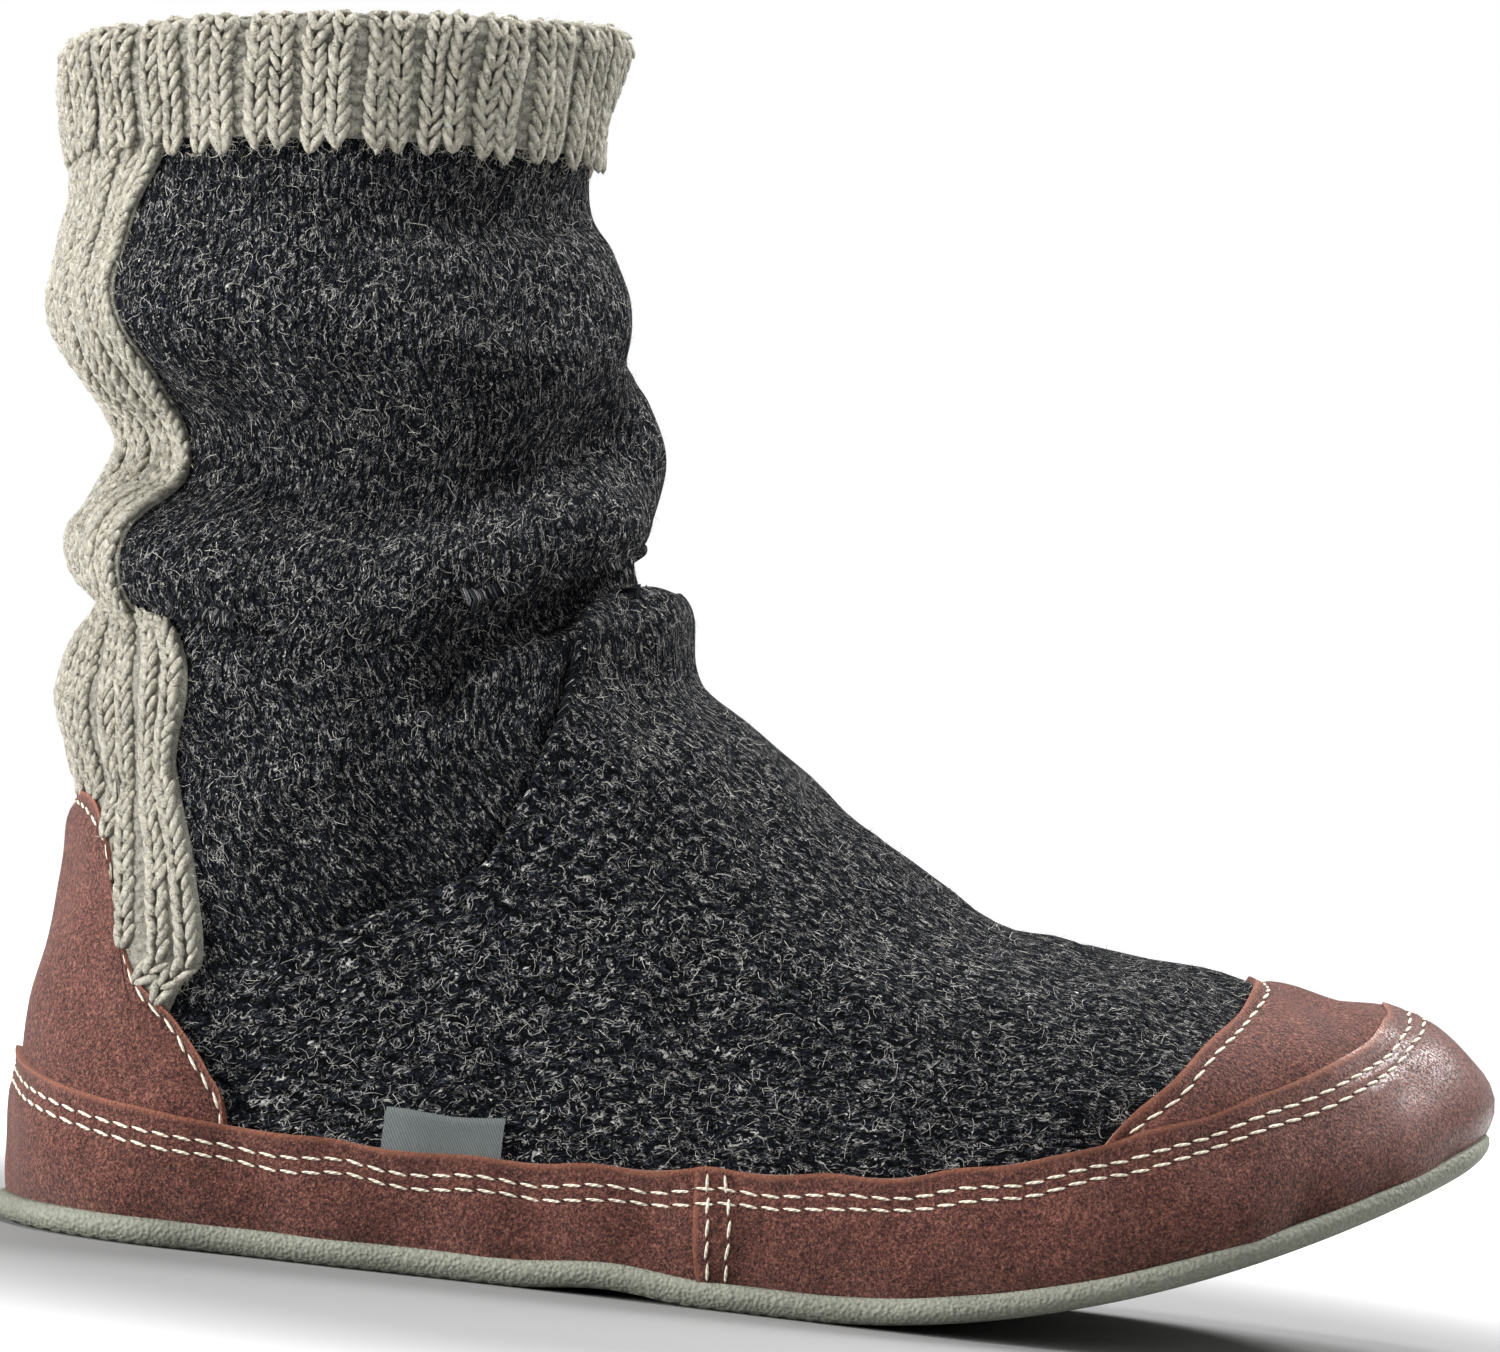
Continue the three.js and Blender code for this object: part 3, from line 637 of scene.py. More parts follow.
def wool(name, wander):
    """Felted dark wool. The UV map counts wales and courses, and wander is how far felting moved them."""
    paint = Paint(name, Roughness=0.95, Sheen_Weight=0.015, Sheen_Roughness=0.45, Specular_IOR_Level=0.04)
    flat = paint.place("UV")
    spot = paint.place()
    across = paint.part(flat, 0) + (paint.noise(flat, 0.45, 2.0) - 0.5) * wander
    along = paint.part(flat, 1) + (paint.noise(flat, 0.6, 2.0) - 0.5) * wander
    strand = (across * 2).fraction() * 2 - 1
    stitch = (along + across.folded(0.5) * 1.5).fraction() * 2 - 1
    rib = across.fraction() * 2 - 1
    rounded = 1 - strand * strand
    plump = 1 - stitch * stitch
    relief = rounded * (plump * 0.3 + 0.2) + (1 - rib * rib) * 0.5
    drawn = paint.node("CombineXYZ", {}, {"X": across, "Y": along * 0.36})
    tufts = paint.noise(spot, 620.0, 4.0, 0.65, 0.8)
    # The base colour is partly painted shade: darkest in the hollows between strands and between wales, with
    # tufts of random tone.
    under = paint.ramp(
        relief * 0.5 + tufts * 0.5,
        (0.28, shade(2, 3, 4)),
        (0.54, shade(7, 9, 12)),
        (0.8, shade(26, 29, 37)),
    )
    down = paint.filaments(spot, 3000.0, 0.06, 0.06)
    dashes = paint.noise(drawn, 4.6, 2.0, 0.6, 0.9)
    fine = paint.soft(dashes, 0.55, 0.66)
    bright = paint.soft(paint.noise(drawn, 3.9, 2.0, 0.6, 1.2), 0.64, 0.7)
    coarse = paint.filaments(drawn, 2.3, 0.038, 0.03)
    # Painted shade: the light fibres below are dimmed in those hollows.
    hollow = paint.soft(relief * 0.6 + tufts * 0.4, 0.35, 0.6) * 0.7 + 0.3
    with_down = paint.blend(down * 0.25, under, shade(36, 40, 49))
    with_fine = paint.blend(fine * hollow * 0.65, with_down, shade(78, 83, 94))
    with_bright = paint.blend(bright * hollow * 0.9, with_fine, shade(236, 235, 230))
    paint.shader("Base Color", paint.blend(coarse * hollow * 0.7, with_bright, shade(222, 221, 216)))
    raised = fine * 0.4 + bright * 0.4 + coarse * 0.4
    paint.bump(relief * 0.6 + tufts * 0.35 + down * 0.15 + raised, 0.0012)
    return paint


wool("Foot wool", 1.1).on(foot_knit)
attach(foot_knit, "root")
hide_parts("upper")

# The shaft of the upper: the same wool with its wales upright, slouched into soft folds above the ankle.
# Its lower end is sewn inside the foot's lip, and the cuff folds over its top edge.
LEG_COLUMNS = 240
LEG_UP = 150
WALE = 0.0017
CUFF_FOLD = 0.003
TUCK = 0.0015
TUCK_REACH = 0.005
TUCK_END = 0.84
TUCK_FADE = 0.1
UNDER_LIP = 0.007
CUFF_HEIGHT = 0.025
CUFF_ROW = TOP_ROW - 1

# The cuff's top edge, in shares of the shaft's depth, the boot's height and the cuff's height.
CUFF_EDGE = table(
    "forward up tall",
    (-0.4, 0.93, 0.8),
    (-0.12, 0.938, 0.82),
    (0.02, 0.951, 0.88),
    (0.17, 0.9625, 0.93),
    (0.4, 0.976, 0.97),
    (0.6, 0.985, 1),
    (0.78, 0.992, 1),
    (0.9, 1, 1.04),
    (1.2, 1.012, 1.06),
)


def collar_height(x):
    return curve(CUFF_EDGE, "forward", "up", x / SHAFT_DEPTH) * BOOT_HEIGHT


leg_turns = even_turns(CUFF_ROW, LEG_COLUMNS)
leg_start = row_at(leg_turns, past(ankle_height, -UNDER_LIP))
leg_end = row_at(leg_turns, past(collar_height, -CUFF_FOLD))
leg_row = mix(leg_start, leg_end, np.linspace(0, 1, LEG_UP + 1)[:, None])
leg_turn = np.broadcast_to(leg_turns, leg_row.shape)
plain = on_last(leg_row, leg_turn)
over_lip = plain[..., 2] - ankle_height(plain[..., 0])
tuck = TUCK * np.exp(-((np.maximum(over_lip, 0) / TUCK_REACH) ** 2)) * step(plain[..., 0]) / ANKLE_STEP
tuck = tuck * (1 - ease((plain[..., 0] / SHAFT_DEPTH - TUCK_END) / TUCK_FADE))
leg_points = over(leg_row, leg_turn, -tuck)
around = distances(on_last(np.full_like(leg_turns, CUFF_ROW)[None], leg_turns[None]), 1)
wales = np.broadcast_to(around / WALE, leg_row.shape)
leg_uv = np.stack([wales, distances(leg_points, 0) / COURSE], -1)
leg_knit = lay("leg_knit", leg_points, leg_uv)
modify(leg_knit, "SOLIDIFY", thickness=KNIT_WALL, offset=-1)
smooth(leg_knit)
wool("Shaft wool", 0.8).on(leg_knit)
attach(leg_knit, "root")
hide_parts("upper")

# The back panel: a strip of pale rib knit, sewn in behind between the edges of the dark knit. It goes from
# the cuff down behind the heel counter, with two wales to each rib and a sunken purl course between them.
RIB_PITCH = 0.0113
PANEL_KNIT = 0.0012
RIB_RISE = 0.001
RIB_MIDDLE = 0.45
WALE_SHARE = 0.2
PURL_SHARE = 0.8
STITCH_UP = 0.0028
STITCH_LONG = 0.0028
STITCH_WIDE = 0.00094
STITCH_THICK = 0.0009
STITCH_LEAN = 0.38
LEAN_SHAKE = 0.11
STITCH_DIP = 0.16
STITCH_SHIFT = 0.00012
STITCH_LIFT = 0.00008
PURL_WIDE = 0.0011
PURL_THICK = 0.0007
PANEL_COLUMNS = 60
PANEL_UP = 120
PANEL_RIBS = 4
PANEL_SHEET = 0.0008
PANEL_ROLL = 0.0006
PANEL_UNDER = 0.0005
PANEL_INTO_CUFF = 0.002
PURL_SUNK = 0.0007
PURL_LEAN = 0.12
PURL_SHIFT = 0.0002
UP_STEP = 0.0006
FEWEST_ROWS = 8

# The panel's edge on the side of the shaft, in shares of the shaft's depth and the boot's height.
PANEL_EDGE = table(
    "forward up",
    (0.24, 0.1),
    (0.3, 0.205),
    (0.333, 0.225),
    (0.308, 0.29),
    (0.262, 0.375),
    (0.273, 0.437),
    (0.24, 0.48),
    (0.14, 0.53),
    (0.155, 0.61),
    (0.145, 0.69),
    (0.075, 0.745),
    (0.08, 0.8),
    (0.125, 0.88),
    (0.14, 1.05),
)

# The heel counter's front edge, in shares of the length and the heel's height.
COUNTER_EDGE = table(
    "at up",
    (-0.2, 1.08),
    (0.022, 1.0),
    (0.046, 0.975),
    (0.059, 0.89),
    (0.067, 0.755),
    (0.083, 0.62),
    (0.116, 0.505),
    (0.14, 0.4),
    (0.152, 0.31),
    (0.156, 0.1),
)


def panel_turn(row):
    """The turn where each row meets the panel's edge on the inner side; the outer side's is 1 less that."""
    def behind(turn):
        point = on_last(row, turn)
        edge = curve(PANEL_EDGE, "up", "forward", point[..., 2] / BOOT_HEIGHT) * SHAFT_DEPTH
        return point[..., 0] < edge
    return halved(behind, np.zeros_like(row), np.full_like(row, 0.5))


def counter_height(x):
    return curve(COUNTER_EDGE, "at", "up", x / LENGTH) * HEEL_HEIGHT


def hem_height(x):
    return collar_height(x) - curve(CUFF_EDGE, "forward", "tall", x / SHAFT_DEPTH) * CUFF_HEIGHT


fine_rows = np.linspace(0, TOP_ROW, 900)
fine_edge = panel_turn(fine_rows)


def panel_column(across, row):
    """The turn at a share of the way across the panel from its inner to its outer edge."""
    edge = np.interp(row, fine_rows, fine_edge)
    return mix(edge, 1 - edge, across)


def panel_row(across, beyond):
    """The row at which each column of the panel passes a line."""
    def far(row):
        return beyond(on_last(row, panel_column(across, row))) > 0
    return halved(far, np.zeros_like(across), np.full_like(across, TOP_ROW))


panel_across = np.linspace(0, 1, PANEL_COLUMNS + 1)
panel_low = panel_row(panel_across, past(counter_height, -PANEL_UNDER))
panel_high = panel_row(panel_across, past(hem_height, PANEL_INTO_CUFF))
panel_rows = mix(panel_low, panel_high, np.linspace(0, 1, PANEL_UP + 1)[:, None])
panel_turns = panel_column(panel_across, panel_rows)
rolled = np.exp(-((np.minimum(panel_across, 1 - panel_across) * PANEL_COLUMNS / 1.5) ** 2))
panel_points = over(panel_rows, panel_turns, GAP + PANEL_SHEET - rolled * PANEL_ROLL)
back_panel = lay("panel_sheet", panel_points)
modify(back_panel, "SOLIDIFY", thickness=PANEL_ROLL, offset=-1)
smooth(back_panel)


def model_of(name):
    """The points, corners and UVs of the piece that is being modelled, which is then removed."""
    piece = bpy.data.objects[name]
    mesh = piece.data
    found = {}
    found["points"] = np.array([v.co for v in mesh.vertices])
    found["corners"] = np.array([c.vertex_index for c in mesh.loops])
    found["sizes"] = np.array([f.loop_total for f in mesh.polygons])
    found["uv"] = np.array([c.uv for c in mesh.uv_layers[0].data])
    bpy.data.objects.remove(piece)
    return found


def built(name, points, corners, sizes):
    """A piece made of points, with each face's corners one after the other and how many a face has."""
    mesh = bpy.data.meshes.new(name)
    mesh.vertices.add(len(points))
    mesh.vertices.foreach_set("co", (points - HEEL_SPOT).ravel())
    mesh.loops.add(len(corners))
    mesh.loops.foreach_set("vertex_index", corners)
    mesh.polygons.add(len(sizes))
    mesh.polygons.foreach_set("loop_start", np.cumsum(sizes) - sizes)
    mesh.update(calc_edges=True)
    piece = bpy.data.objects.new(name, mesh)
    bpy.context.scene.collection.objects.link(piece)
    smooth(piece)
    return piece


def repeated(name, model, centre, across, out, along):
    """One piece of a model repeated, its X laid across, its Y out and its Z along, as long as each is."""
    count = len(centre)
    points = (centre[:, None] + model["points"] @ np.stack([across, out, along], 1)).reshape(-1, 3)
    corners = (model["corners"] + len(model["points"]) * np.arange(count)[:, None]).ravel()
    piece = built(name, points, corners, np.tile(model["sizes"], count))
    layer = piece.data.uv_layers.new(name="UVMap")
    layer.data.foreach_set("uv", np.tile(model["uv"], (count, 1)).ravel())
    return piece


def joined(name, *pieces):
    """The pieces joined into the first, under a new name."""
    bpy.ops.object.select_all(action="DESELECT")
    for piece in pieces:
        piece.select_set(True)
    bpy.context.view_layer.objects.active = pieces[0]
    bpy.ops.object.join()
    pieces[0].name = name
    return pieces[0]


# One strand of a stitch: a plump grain of yarn, narrower at both ends.
bpy.ops.object.select_all(action="DESELECT")
bpy.ops.mesh.primitive_uv_sphere_add(segments=6, ring_count=4, radius=1)
bpy.context.object.name = "strand"
STRAND = model_of("strand")
yarn_seed = np.random.default_rng(5)


def read(at, run, rows):
    """What a line's rows hold at distances along its run."""
    return np.stack([np.interp(at, run, rows[:, k]) for k in range(3)], -1)


def along_wale(points, normals, narrow):
    """Places at even distances along a wale, the ways up it, outwards and across, and its half width."""
    run = distances(points, 0)
    at = (np.arange(int(run[-1] / STITCH_UP)) + 0.5) * STITCH_UP
    out = unit(read(at, run, normals))
    rise = unit(read(at + UP_STEP, run, points) - read(at - UP_STEP, run, points))
    half = np.interp(at, run, narrow)[:, None]
    return read(at, run, points), rise, out, unit(np.cross(rise, out)), half


def knit_stitches(wales):
    """The two strands of each stitch along each wale: they meet at its foot and part upwards."""
    parts = []
    for points, normals, narrow in wales:
        place, rise, out, across, half = along_wale(points, normals, narrow)
        for side in (-1, 1):
            shake = yarn_seed.normal(0, 1, (len(place), 4))
            lean = STITCH_LEAN + LEAN_SHAKE * shake[:, :1]
            along = unit(rise + side * lean * across - STITCH_DIP * out)
            width = unit(np.cross(along, out))
            depth = np.cross(width, along)
            centre = place + side * half * 0.5 * across + STITCH_SHIFT * shake[:, 1:2] * rise
            centre = centre + STITCH_LIFT * shake[:, 3:4] * out
            size = 1 + 0.1 * shake[:, 2:3]
            wide = width * STITCH_WIDE * size
            parts.append((centre, wide, -depth * STITCH_THICK, along * STITCH_LONG * size))
    return [np.concatenate(column) for column in zip(*parts)]


def purl_stitches(wales):
    """A low bump across the gap between two ribs at each course."""
    parts = []
    for points, normals, narrow in wales:
        place, rise, out, across, half = along_wale(points, normals, narrow)
        shake = yarn_seed.normal(0, 1, (len(place), 2))
        along = unit(across + PURL_LEAN * shake[:, :1] * rise)
        depth = np.cross(along, rise)
        centre = place + PURL_SHIFT * shake[:, 1:] * rise
        parts.append((centre, rise * PURL_WIDE, depth * PURL_THICK, along * half))
    return [np.concatenate(column) for column in zip(*parts)]


def yarn_paint(name, light):
    """Pale ragg wool yarn, twisted and hairy. The UV map goes round and along each strand."""
    paint = Paint(name, Roughness=0.9, Sheen_Weight=0.25, Sheen_Roughness=0.5, Specular_IOR_Level=0.25)
    spot = paint.place()
    flat = paint.place("UV")
    twist = (paint.part(flat, 0) * 2 + paint.part(flat, 1) * 2.4).fraction().folded(0.5) * 2
    tangle = paint.noise(spot, 1500.0, 5.0, 0.8, 1.6)
    hairs = paint.noise(spot, 4200.0, 3.0, 0.7, 2.0)
    flecks = paint.noise(spot, 700.0, 2.0, 0.5, 1.0)
    stain = paint.noise(spot, 110.0, 2.0)
    fleece = paint.ramp(
        tangle * 0.5 + hairs * 0.35 + twist * 0.1 + stain * 0.05,
        # Where light is below 1 the whole colour is darkened as painted shade.
        (0.32, shade(132 * light, 122 * light, 98 * light)),
        (0.43, shade(206 * light, 198 * light, 175 * light)),
        (0.53, shade(240 * light, 234 * light, 214 * light)),
        (0.66, shade(254 * light, 251 * light, 238 * light)),
    )
    brown = paint.blend(paint.soft(flecks, 0.6, 0.74) * 0.6, fleece, shade(120, 100, 74))
    curls = paint.filaments(spot, 1500.0, 0.05, 0.06)
    # Thin dark lines of painted shade between the fibres.
    shadows = paint.filaments(spot, 1100.0, 0.05, 0.06)
    shaded = paint.blend(shadows * 0.75, brown, shade(98, 88, 68))
    paint.shader("Base Color", paint.blend(curls * 0.7, shaded, shade(252, 250, 240)))
    paint.bump(tangle * 0.55 + hairs * 0.3 + twist * 0.35 + curls * 0.5 - shadows * 0.4, 0.0014)
    return paint


yarn = yarn_paint("Pale yarn", 1.0)
# The same yarn darkened as painted shade, for the ground and the purl bumps sunk between the ribs.
shaded_yarn = yarn_paint("Pale yarn painted in shade between the ribs", 0.8)


def edge_wale(sign, share, reach, wide):
    """A wale of the panel: share is how far it is from the edge to the middle of the back, at every height.

    It is on the inner side for sign 1 and the outer for -1, and wide is its share of a rib's width.
    """
    rows = np.linspace(0, TOP_ROW, 520)
    edge = np.interp(rows, fine_rows, fine_edge)
    ring_turns = mix(edge[:, None], 0.5, np.linspace(0, 1, 60))
    ring = on_last(np.broadcast_to(rows[:, None], ring_turns.shape), ring_turns)
    run = distances(ring, 1)
    turns = np.array([np.interp(share * run[k, -1], run[k], ring_turns[k]) for k in range(len(rows))])
    side_turns = turns if sign > 0 else 1 - turns
    plain = on_last(rows, side_turns)
    inside = (past(counter_height, 0.0003)(plain) > 0) & (past(hem_height, 0.001)(plain) < 0)
    points = over(rows, side_turns, np.full(len(rows), reach))
    return points, facing(slouched, rows, side_turns), run[:, -1] / PANEL_RIBS * wide, inside


def stretches(points, normals, narrow, inside):
    """The stretches of a wale where it shows."""
    marks = np.flatnonzero(np.diff(np.concatenate([[0], inside.astype(int), [0]])))
    for start, stop in zip(marks[::2], marks[1::2]):
        if stop - start > FEWEST_ROWS:
            yield points[start:stop], normals[start:stop], narrow[start:stop]


panel_knits = []
panel_purls = []
for sign in (-1, 1):
    for rib in range(PANEL_RIBS):
        for wale_share in (RIB_MIDDLE - WALE_SHARE, RIB_MIDDLE + WALE_SHARE):
            peak = GAP + PANEL_KNIT + RIB_RISE - STITCH_THICK
            wale = edge_wale(sign, (rib + wale_share) / PANEL_RIBS, peak, WALE_SHARE)
            panel_knits += stretches(*wale)
        if rib < PANEL_RIBS - 1:
            valley = GAP + PANEL_KNIT - PURL_SUNK
            purl_share = (rib + RIB_MIDDLE + 0.5) / PANEL_RIBS
            panel_purls += stretches(*edge_wale(sign, purl_share, valley, WALE_SHARE * PURL_SHARE))
panel_strands = knit_stitches(panel_knits)
panel_yarn = repeated("back_panel_yarn", STRAND, *panel_strands)
panel_bumps = repeated("panel_bumps", STRAND, *purl_stitches(panel_purls))
yarn.on(panel_yarn)
# The sunken ground and purl bumps take the yarn darkened as painted shade.
shaded_yarn.on(panel_bumps, back_panel)
back_panel = joined("back_panel_ground", back_panel, panel_bumps)
for piece in (panel_yarn, back_panel):
    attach(piece, "root")
    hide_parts("back_panel")

# The cuff: a band of the same pale rib knit around the collar, folded over the shaft's top edge and sewn
# inside. Its hem hangs free over the dark knit, so that the ends of its wales make small points there.
CUFF_KNIT = 0.0019
CUFF_COLUMNS = 210
CUFF_UP = 20
CUFF_INSIDE = 0.011
CUFF_SHEET = 0.0011
CUFF_SHEET_THICK = 0.001
CUFF_PURL_SUNK = 0.0010
SHEET_HEM = 0.0012
PURL_HEM = 0.0015
WALE_STEPS = 40
FOLD_SLACK = 0.0012
HEM_ENDS = (-0.0012, 0.0006)
cuff_around = around[0, -1]
CUFF_RIBS = 2 * round(cuff_around / RIB_PITCH / 2)
FOLD_RADIUS = (CUFF_KNIT + GAP + KNIT_WALL + FOLD_SLACK) / 2


def cuff_column(turns, steps, outside, hem_lift):
    """Points and directions up the cuff's outside at each turn, over its fold and down its inside."""
    low = row_at(turns, past(hem_height, hem_lift))
    high = row_at(turns, past(collar_height, -FOLD_RADIUS))
    rows = mix(low, high, np.linspace(0, 1, steps)[:, None])
    all_turns = np.broadcast_to(turns, rows.shape)
    form = slouched(rows, all_turns)
    out = facing(slouched, rows, all_turns)
    rise = unit(form[-1] - form[-2])
    centre = form[-1] + out[-1] * (outside - FOLD_RADIUS)
    angle = np.linspace(0, np.pi, 9)[1:, None, None]
    fold_out = np.cos(angle) * out[-1] + np.sin(angle) * rise
    fold = centre + fold_out * FOLD_RADIUS
    down = fold[-1] - np.linspace(0, CUFF_INSIDE, 8)[1:, None, None] * rise
    points = np.concatenate([form + out * outside, fold, down])
    return points, np.concatenate([out, fold_out, np.broadcast_to(fold_out[-1], down.shape)])


cuff_turns = even_turns(CUFF_ROW, CUFF_COLUMNS)
sheet_points, _ = cuff_column(cuff_turns, CUFF_UP, GAP + CUFF_SHEET, SHEET_HEM)
cuff_sheet = lay("cuff_sheet", sheet_points)
modify(cuff_sheet, "SOLIDIFY", thickness=CUFF_SHEET_THICK, offset=-1)
smooth(cuff_sheet)

wale_at = np.concatenate([(np.arange(CUFF_RIBS) + 0.5 + side * WALE_SHARE) / CUFF_RIBS for side in (-1, 1)])
purl_at = np.arange(CUFF_RIBS) / CUFF_RIBS


def turn_at(shares_round):
    return np.interp(shares_round, around[0] / cuff_around, leg_turns)


peak = GAP + CUFF_KNIT + RIB_RISE - STITCH_THICK
hem_ends = yarn_seed.uniform(*HEM_ENDS, len(wale_at))
cuff_knits = []
for share, end in zip(wale_at, hem_ends):
    points, normals = cuff_column(np.array([turn_at(share)]), WALE_STEPS, peak, end)
    cuff_knits.append((points[:, 0], normals[:, 0], np.full(len(points), RIB_PITCH * WALE_SHARE)))
cuff_purls = []
valley = GAP + CUFF_KNIT - CUFF_PURL_SUNK
purl_half = RIB_PITCH * WALE_SHARE * PURL_SHARE
for share in purl_at:
    points, normals = cuff_column(np.array([turn_at(share)]), WALE_STEPS, valley, PURL_HEM)
    cuff_purls.append((points[:, 0], normals[:, 0], np.full(len(points), purl_half)))
cuff_strands = knit_stitches(cuff_knits)
cuff_yarn = repeated("cuff_yarn", STRAND, *cuff_strands)
cuff_bumps = repeated("cuff_bumps", STRAND, *purl_stitches(cuff_purls))
yarn.on(cuff_yarn)
# The cuff's sheet and purl bumps take the yarn darkened as painted shade.
shaded_yarn.on(cuff_sheet, cuff_bumps)
cuff_ground = joined("cuff_ground", cuff_sheet, cuff_bumps)
for piece in (cuff_yarn, cuff_ground):
    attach(piece, "root")
    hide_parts("cuff")

# The heel counter and the toe cap: thin suede with a raw edge, laid on the knit and sewn down near that
# edge. Their lower edges are caught under the foxing.
SUEDE = 0.0013
PARED = 0.0009
TOE_RIDGE = 0.025
FOXING_HEIGHT = 0.019
COUNTER_COLUMNS = 190
CAP_COLUMNS = 220
SKIN_UP = 32
STITCH_IN = 0.0026
RAW_LIP = 0.0004
RAW_LIP_WIDE = 0.0015
PUCKER = 0.0004
PUCKER_WIDE = 0.0008
COUNTER_REACH = 0.0437
CAP_REACH = 0.199
UNDER_FOXING = 0.003
LEAST_HEIGHT = 0.01
ROWS_TO_TOP = 1.6
TOE_START = 0.17
TOE_EASE = 0.02
PARED_WIDE = 0.005

# The foxing's top edge, in shares of the length and the foxing's height over the sole.
FOXING_EDGE = table(
    "at up",
    (-0.2, 1.8),
    (0.0, 1.52),
    (0.024, 1.3),
    (0.065, 1.135),
    (0.13, 1.02),
    (0.22, 0.95),
    (0.36, 0.955),
    (0.44, 1.035),
    (0.52, 1.12),
    (0.62, 1.2),
    (0.72, 1.3),
    (0.82, 1.36),
    (0.88, 1.4),
    (0.91, 1.53),
    (0.921, 1.72),
    (0.926, 2.6),
)

# The toe cap's rear edge, in shares of the length and the instep's height.
CAP_EDGE = table(
    "at up",
    (0.69, 0.15),
    (0.733, 0.298),
    (0.771, 0.376),
    (0.809, 0.457),
    (0.821, 0.487),
    (0.826, 0.535),
    (0.829, 0.75),
)


def foxing_height(x):
    """The height of the foxing's top edge, which runs level over the arch."""
    at = x / LENGTH
    spring = np.maximum(0, (at - SPRING_START) / (1 - SPRING_START))
    seat = OUTSOLE + TOE_SPRING * spring**SPRING_CURVE
    return seat + curve(FOXING_EDGE, "at", "up", at) * FOXING_HEIGHT


def behind_cap(point):
    return curve(CAP_EDGE, "up", "at", point[..., 2] / INSTEP_HEIGHT) * LENGTH - point[..., 0]


def turn_beside(x, row):
    """The turn on the inner side at a place along a row."""
    front = curve(FORM, "row", "front_x", row)
    back = curve(FORM, "row", "back_x", row)
    return np.arccos(1 - 2 * np.clip((front - x) / (front - back), 0, 1)) / (2 * np.pi)


def suede_skin(name, turns, low, high, thickness, seams, lap=None):
    """A sheet of suede over the foot between two rows at each turn, with its lip and puckered seams.

    Over the ridge of the toe its edge is pared thin.
    """
    rows = mix(low, high, 1 - (1 - np.linspace(0, 1, SKIN_UP + 1)[:, None]) ** ROWS_TO_TOP)
    all_turns = np.broadcast_to(turns, rows.shape)
    form = slouched(rows, all_turns)
    out = facing(slouched, rows, all_turns)
    from_top = distances(form, 0)[-1] - distances(form, 0)
    reach = step(on_last(rows, all_turns)[..., 0]) + GAP + thickness
    reach = reach + RAW_LIP * np.exp(-((from_top / RAW_LIP_WIDE) ** 2))
    for seam in seams:
        reach = reach - PUCKER * np.exp(-(((from_top - seam) / PUCKER_WIDE) ** 2))
    toe_ridge = ease((form[..., 0] - TOE_START) / TOE_EASE) * np.exp(-((form[..., 1] / TOE_RIDGE) ** 2))
    reach = reach - PARED * toe_ridge * np.exp(-((from_top / PARED_WIDE) ** 2))
    if lap is not None:
        reach = reach + lap(distances(form, 1))
    points = form + out * reach[..., None]
    run = distances(points, 1)
    uv = np.stack([np.minimum(run, run[:, -1:] - run), from_top], -1)
    piece = lay(name, points, uv)
    modify(piece, "SOLIDIFY", thickness=thickness, offset=-1, material_offset_rim=1)
    smooth(piece, 50)
    return piece, points, from_top


counter_front = turn_beside(COUNTER_REACH, 3.0)
counter_turns = even_turns(4, COUNTER_COLUMNS, counter_front, 1 - counter_front)
counter_low = row_at(counter_turns, past(foxing_height, -UNDER_FOXING))
counter_high = np.maximum(counter_low + LEAST_HEIGHT, row_at(counter_turns, past(counter_height, 0)))
heel_counter, counter_points, counter_depth = suede_skin(
    "heel_counter_suede", counter_turns, counter_low, counter_high, SUEDE, (STITCH_IN,)
)

cap_end = turn_beside(CAP_REACH, 3.0)
cap_turns = even_turns(4, CAP_COLUMNS, -cap_end, cap_end)
cap_low = row_at(cap_turns, past(foxing_height, -UNDER_FOXING), high=FOOT_TOP)
cap_high = np.maximum(cap_low + LEAST_HEIGHT, row_at(cap_turns, behind_cap, low=1.0, high=FOOT_TOP))
toe_cap, cap_points, cap_depth = suede_skin(
    "toe_cap_suede", cap_turns, cap_low, cap_high, SUEDE, (STITCH_IN,)
)


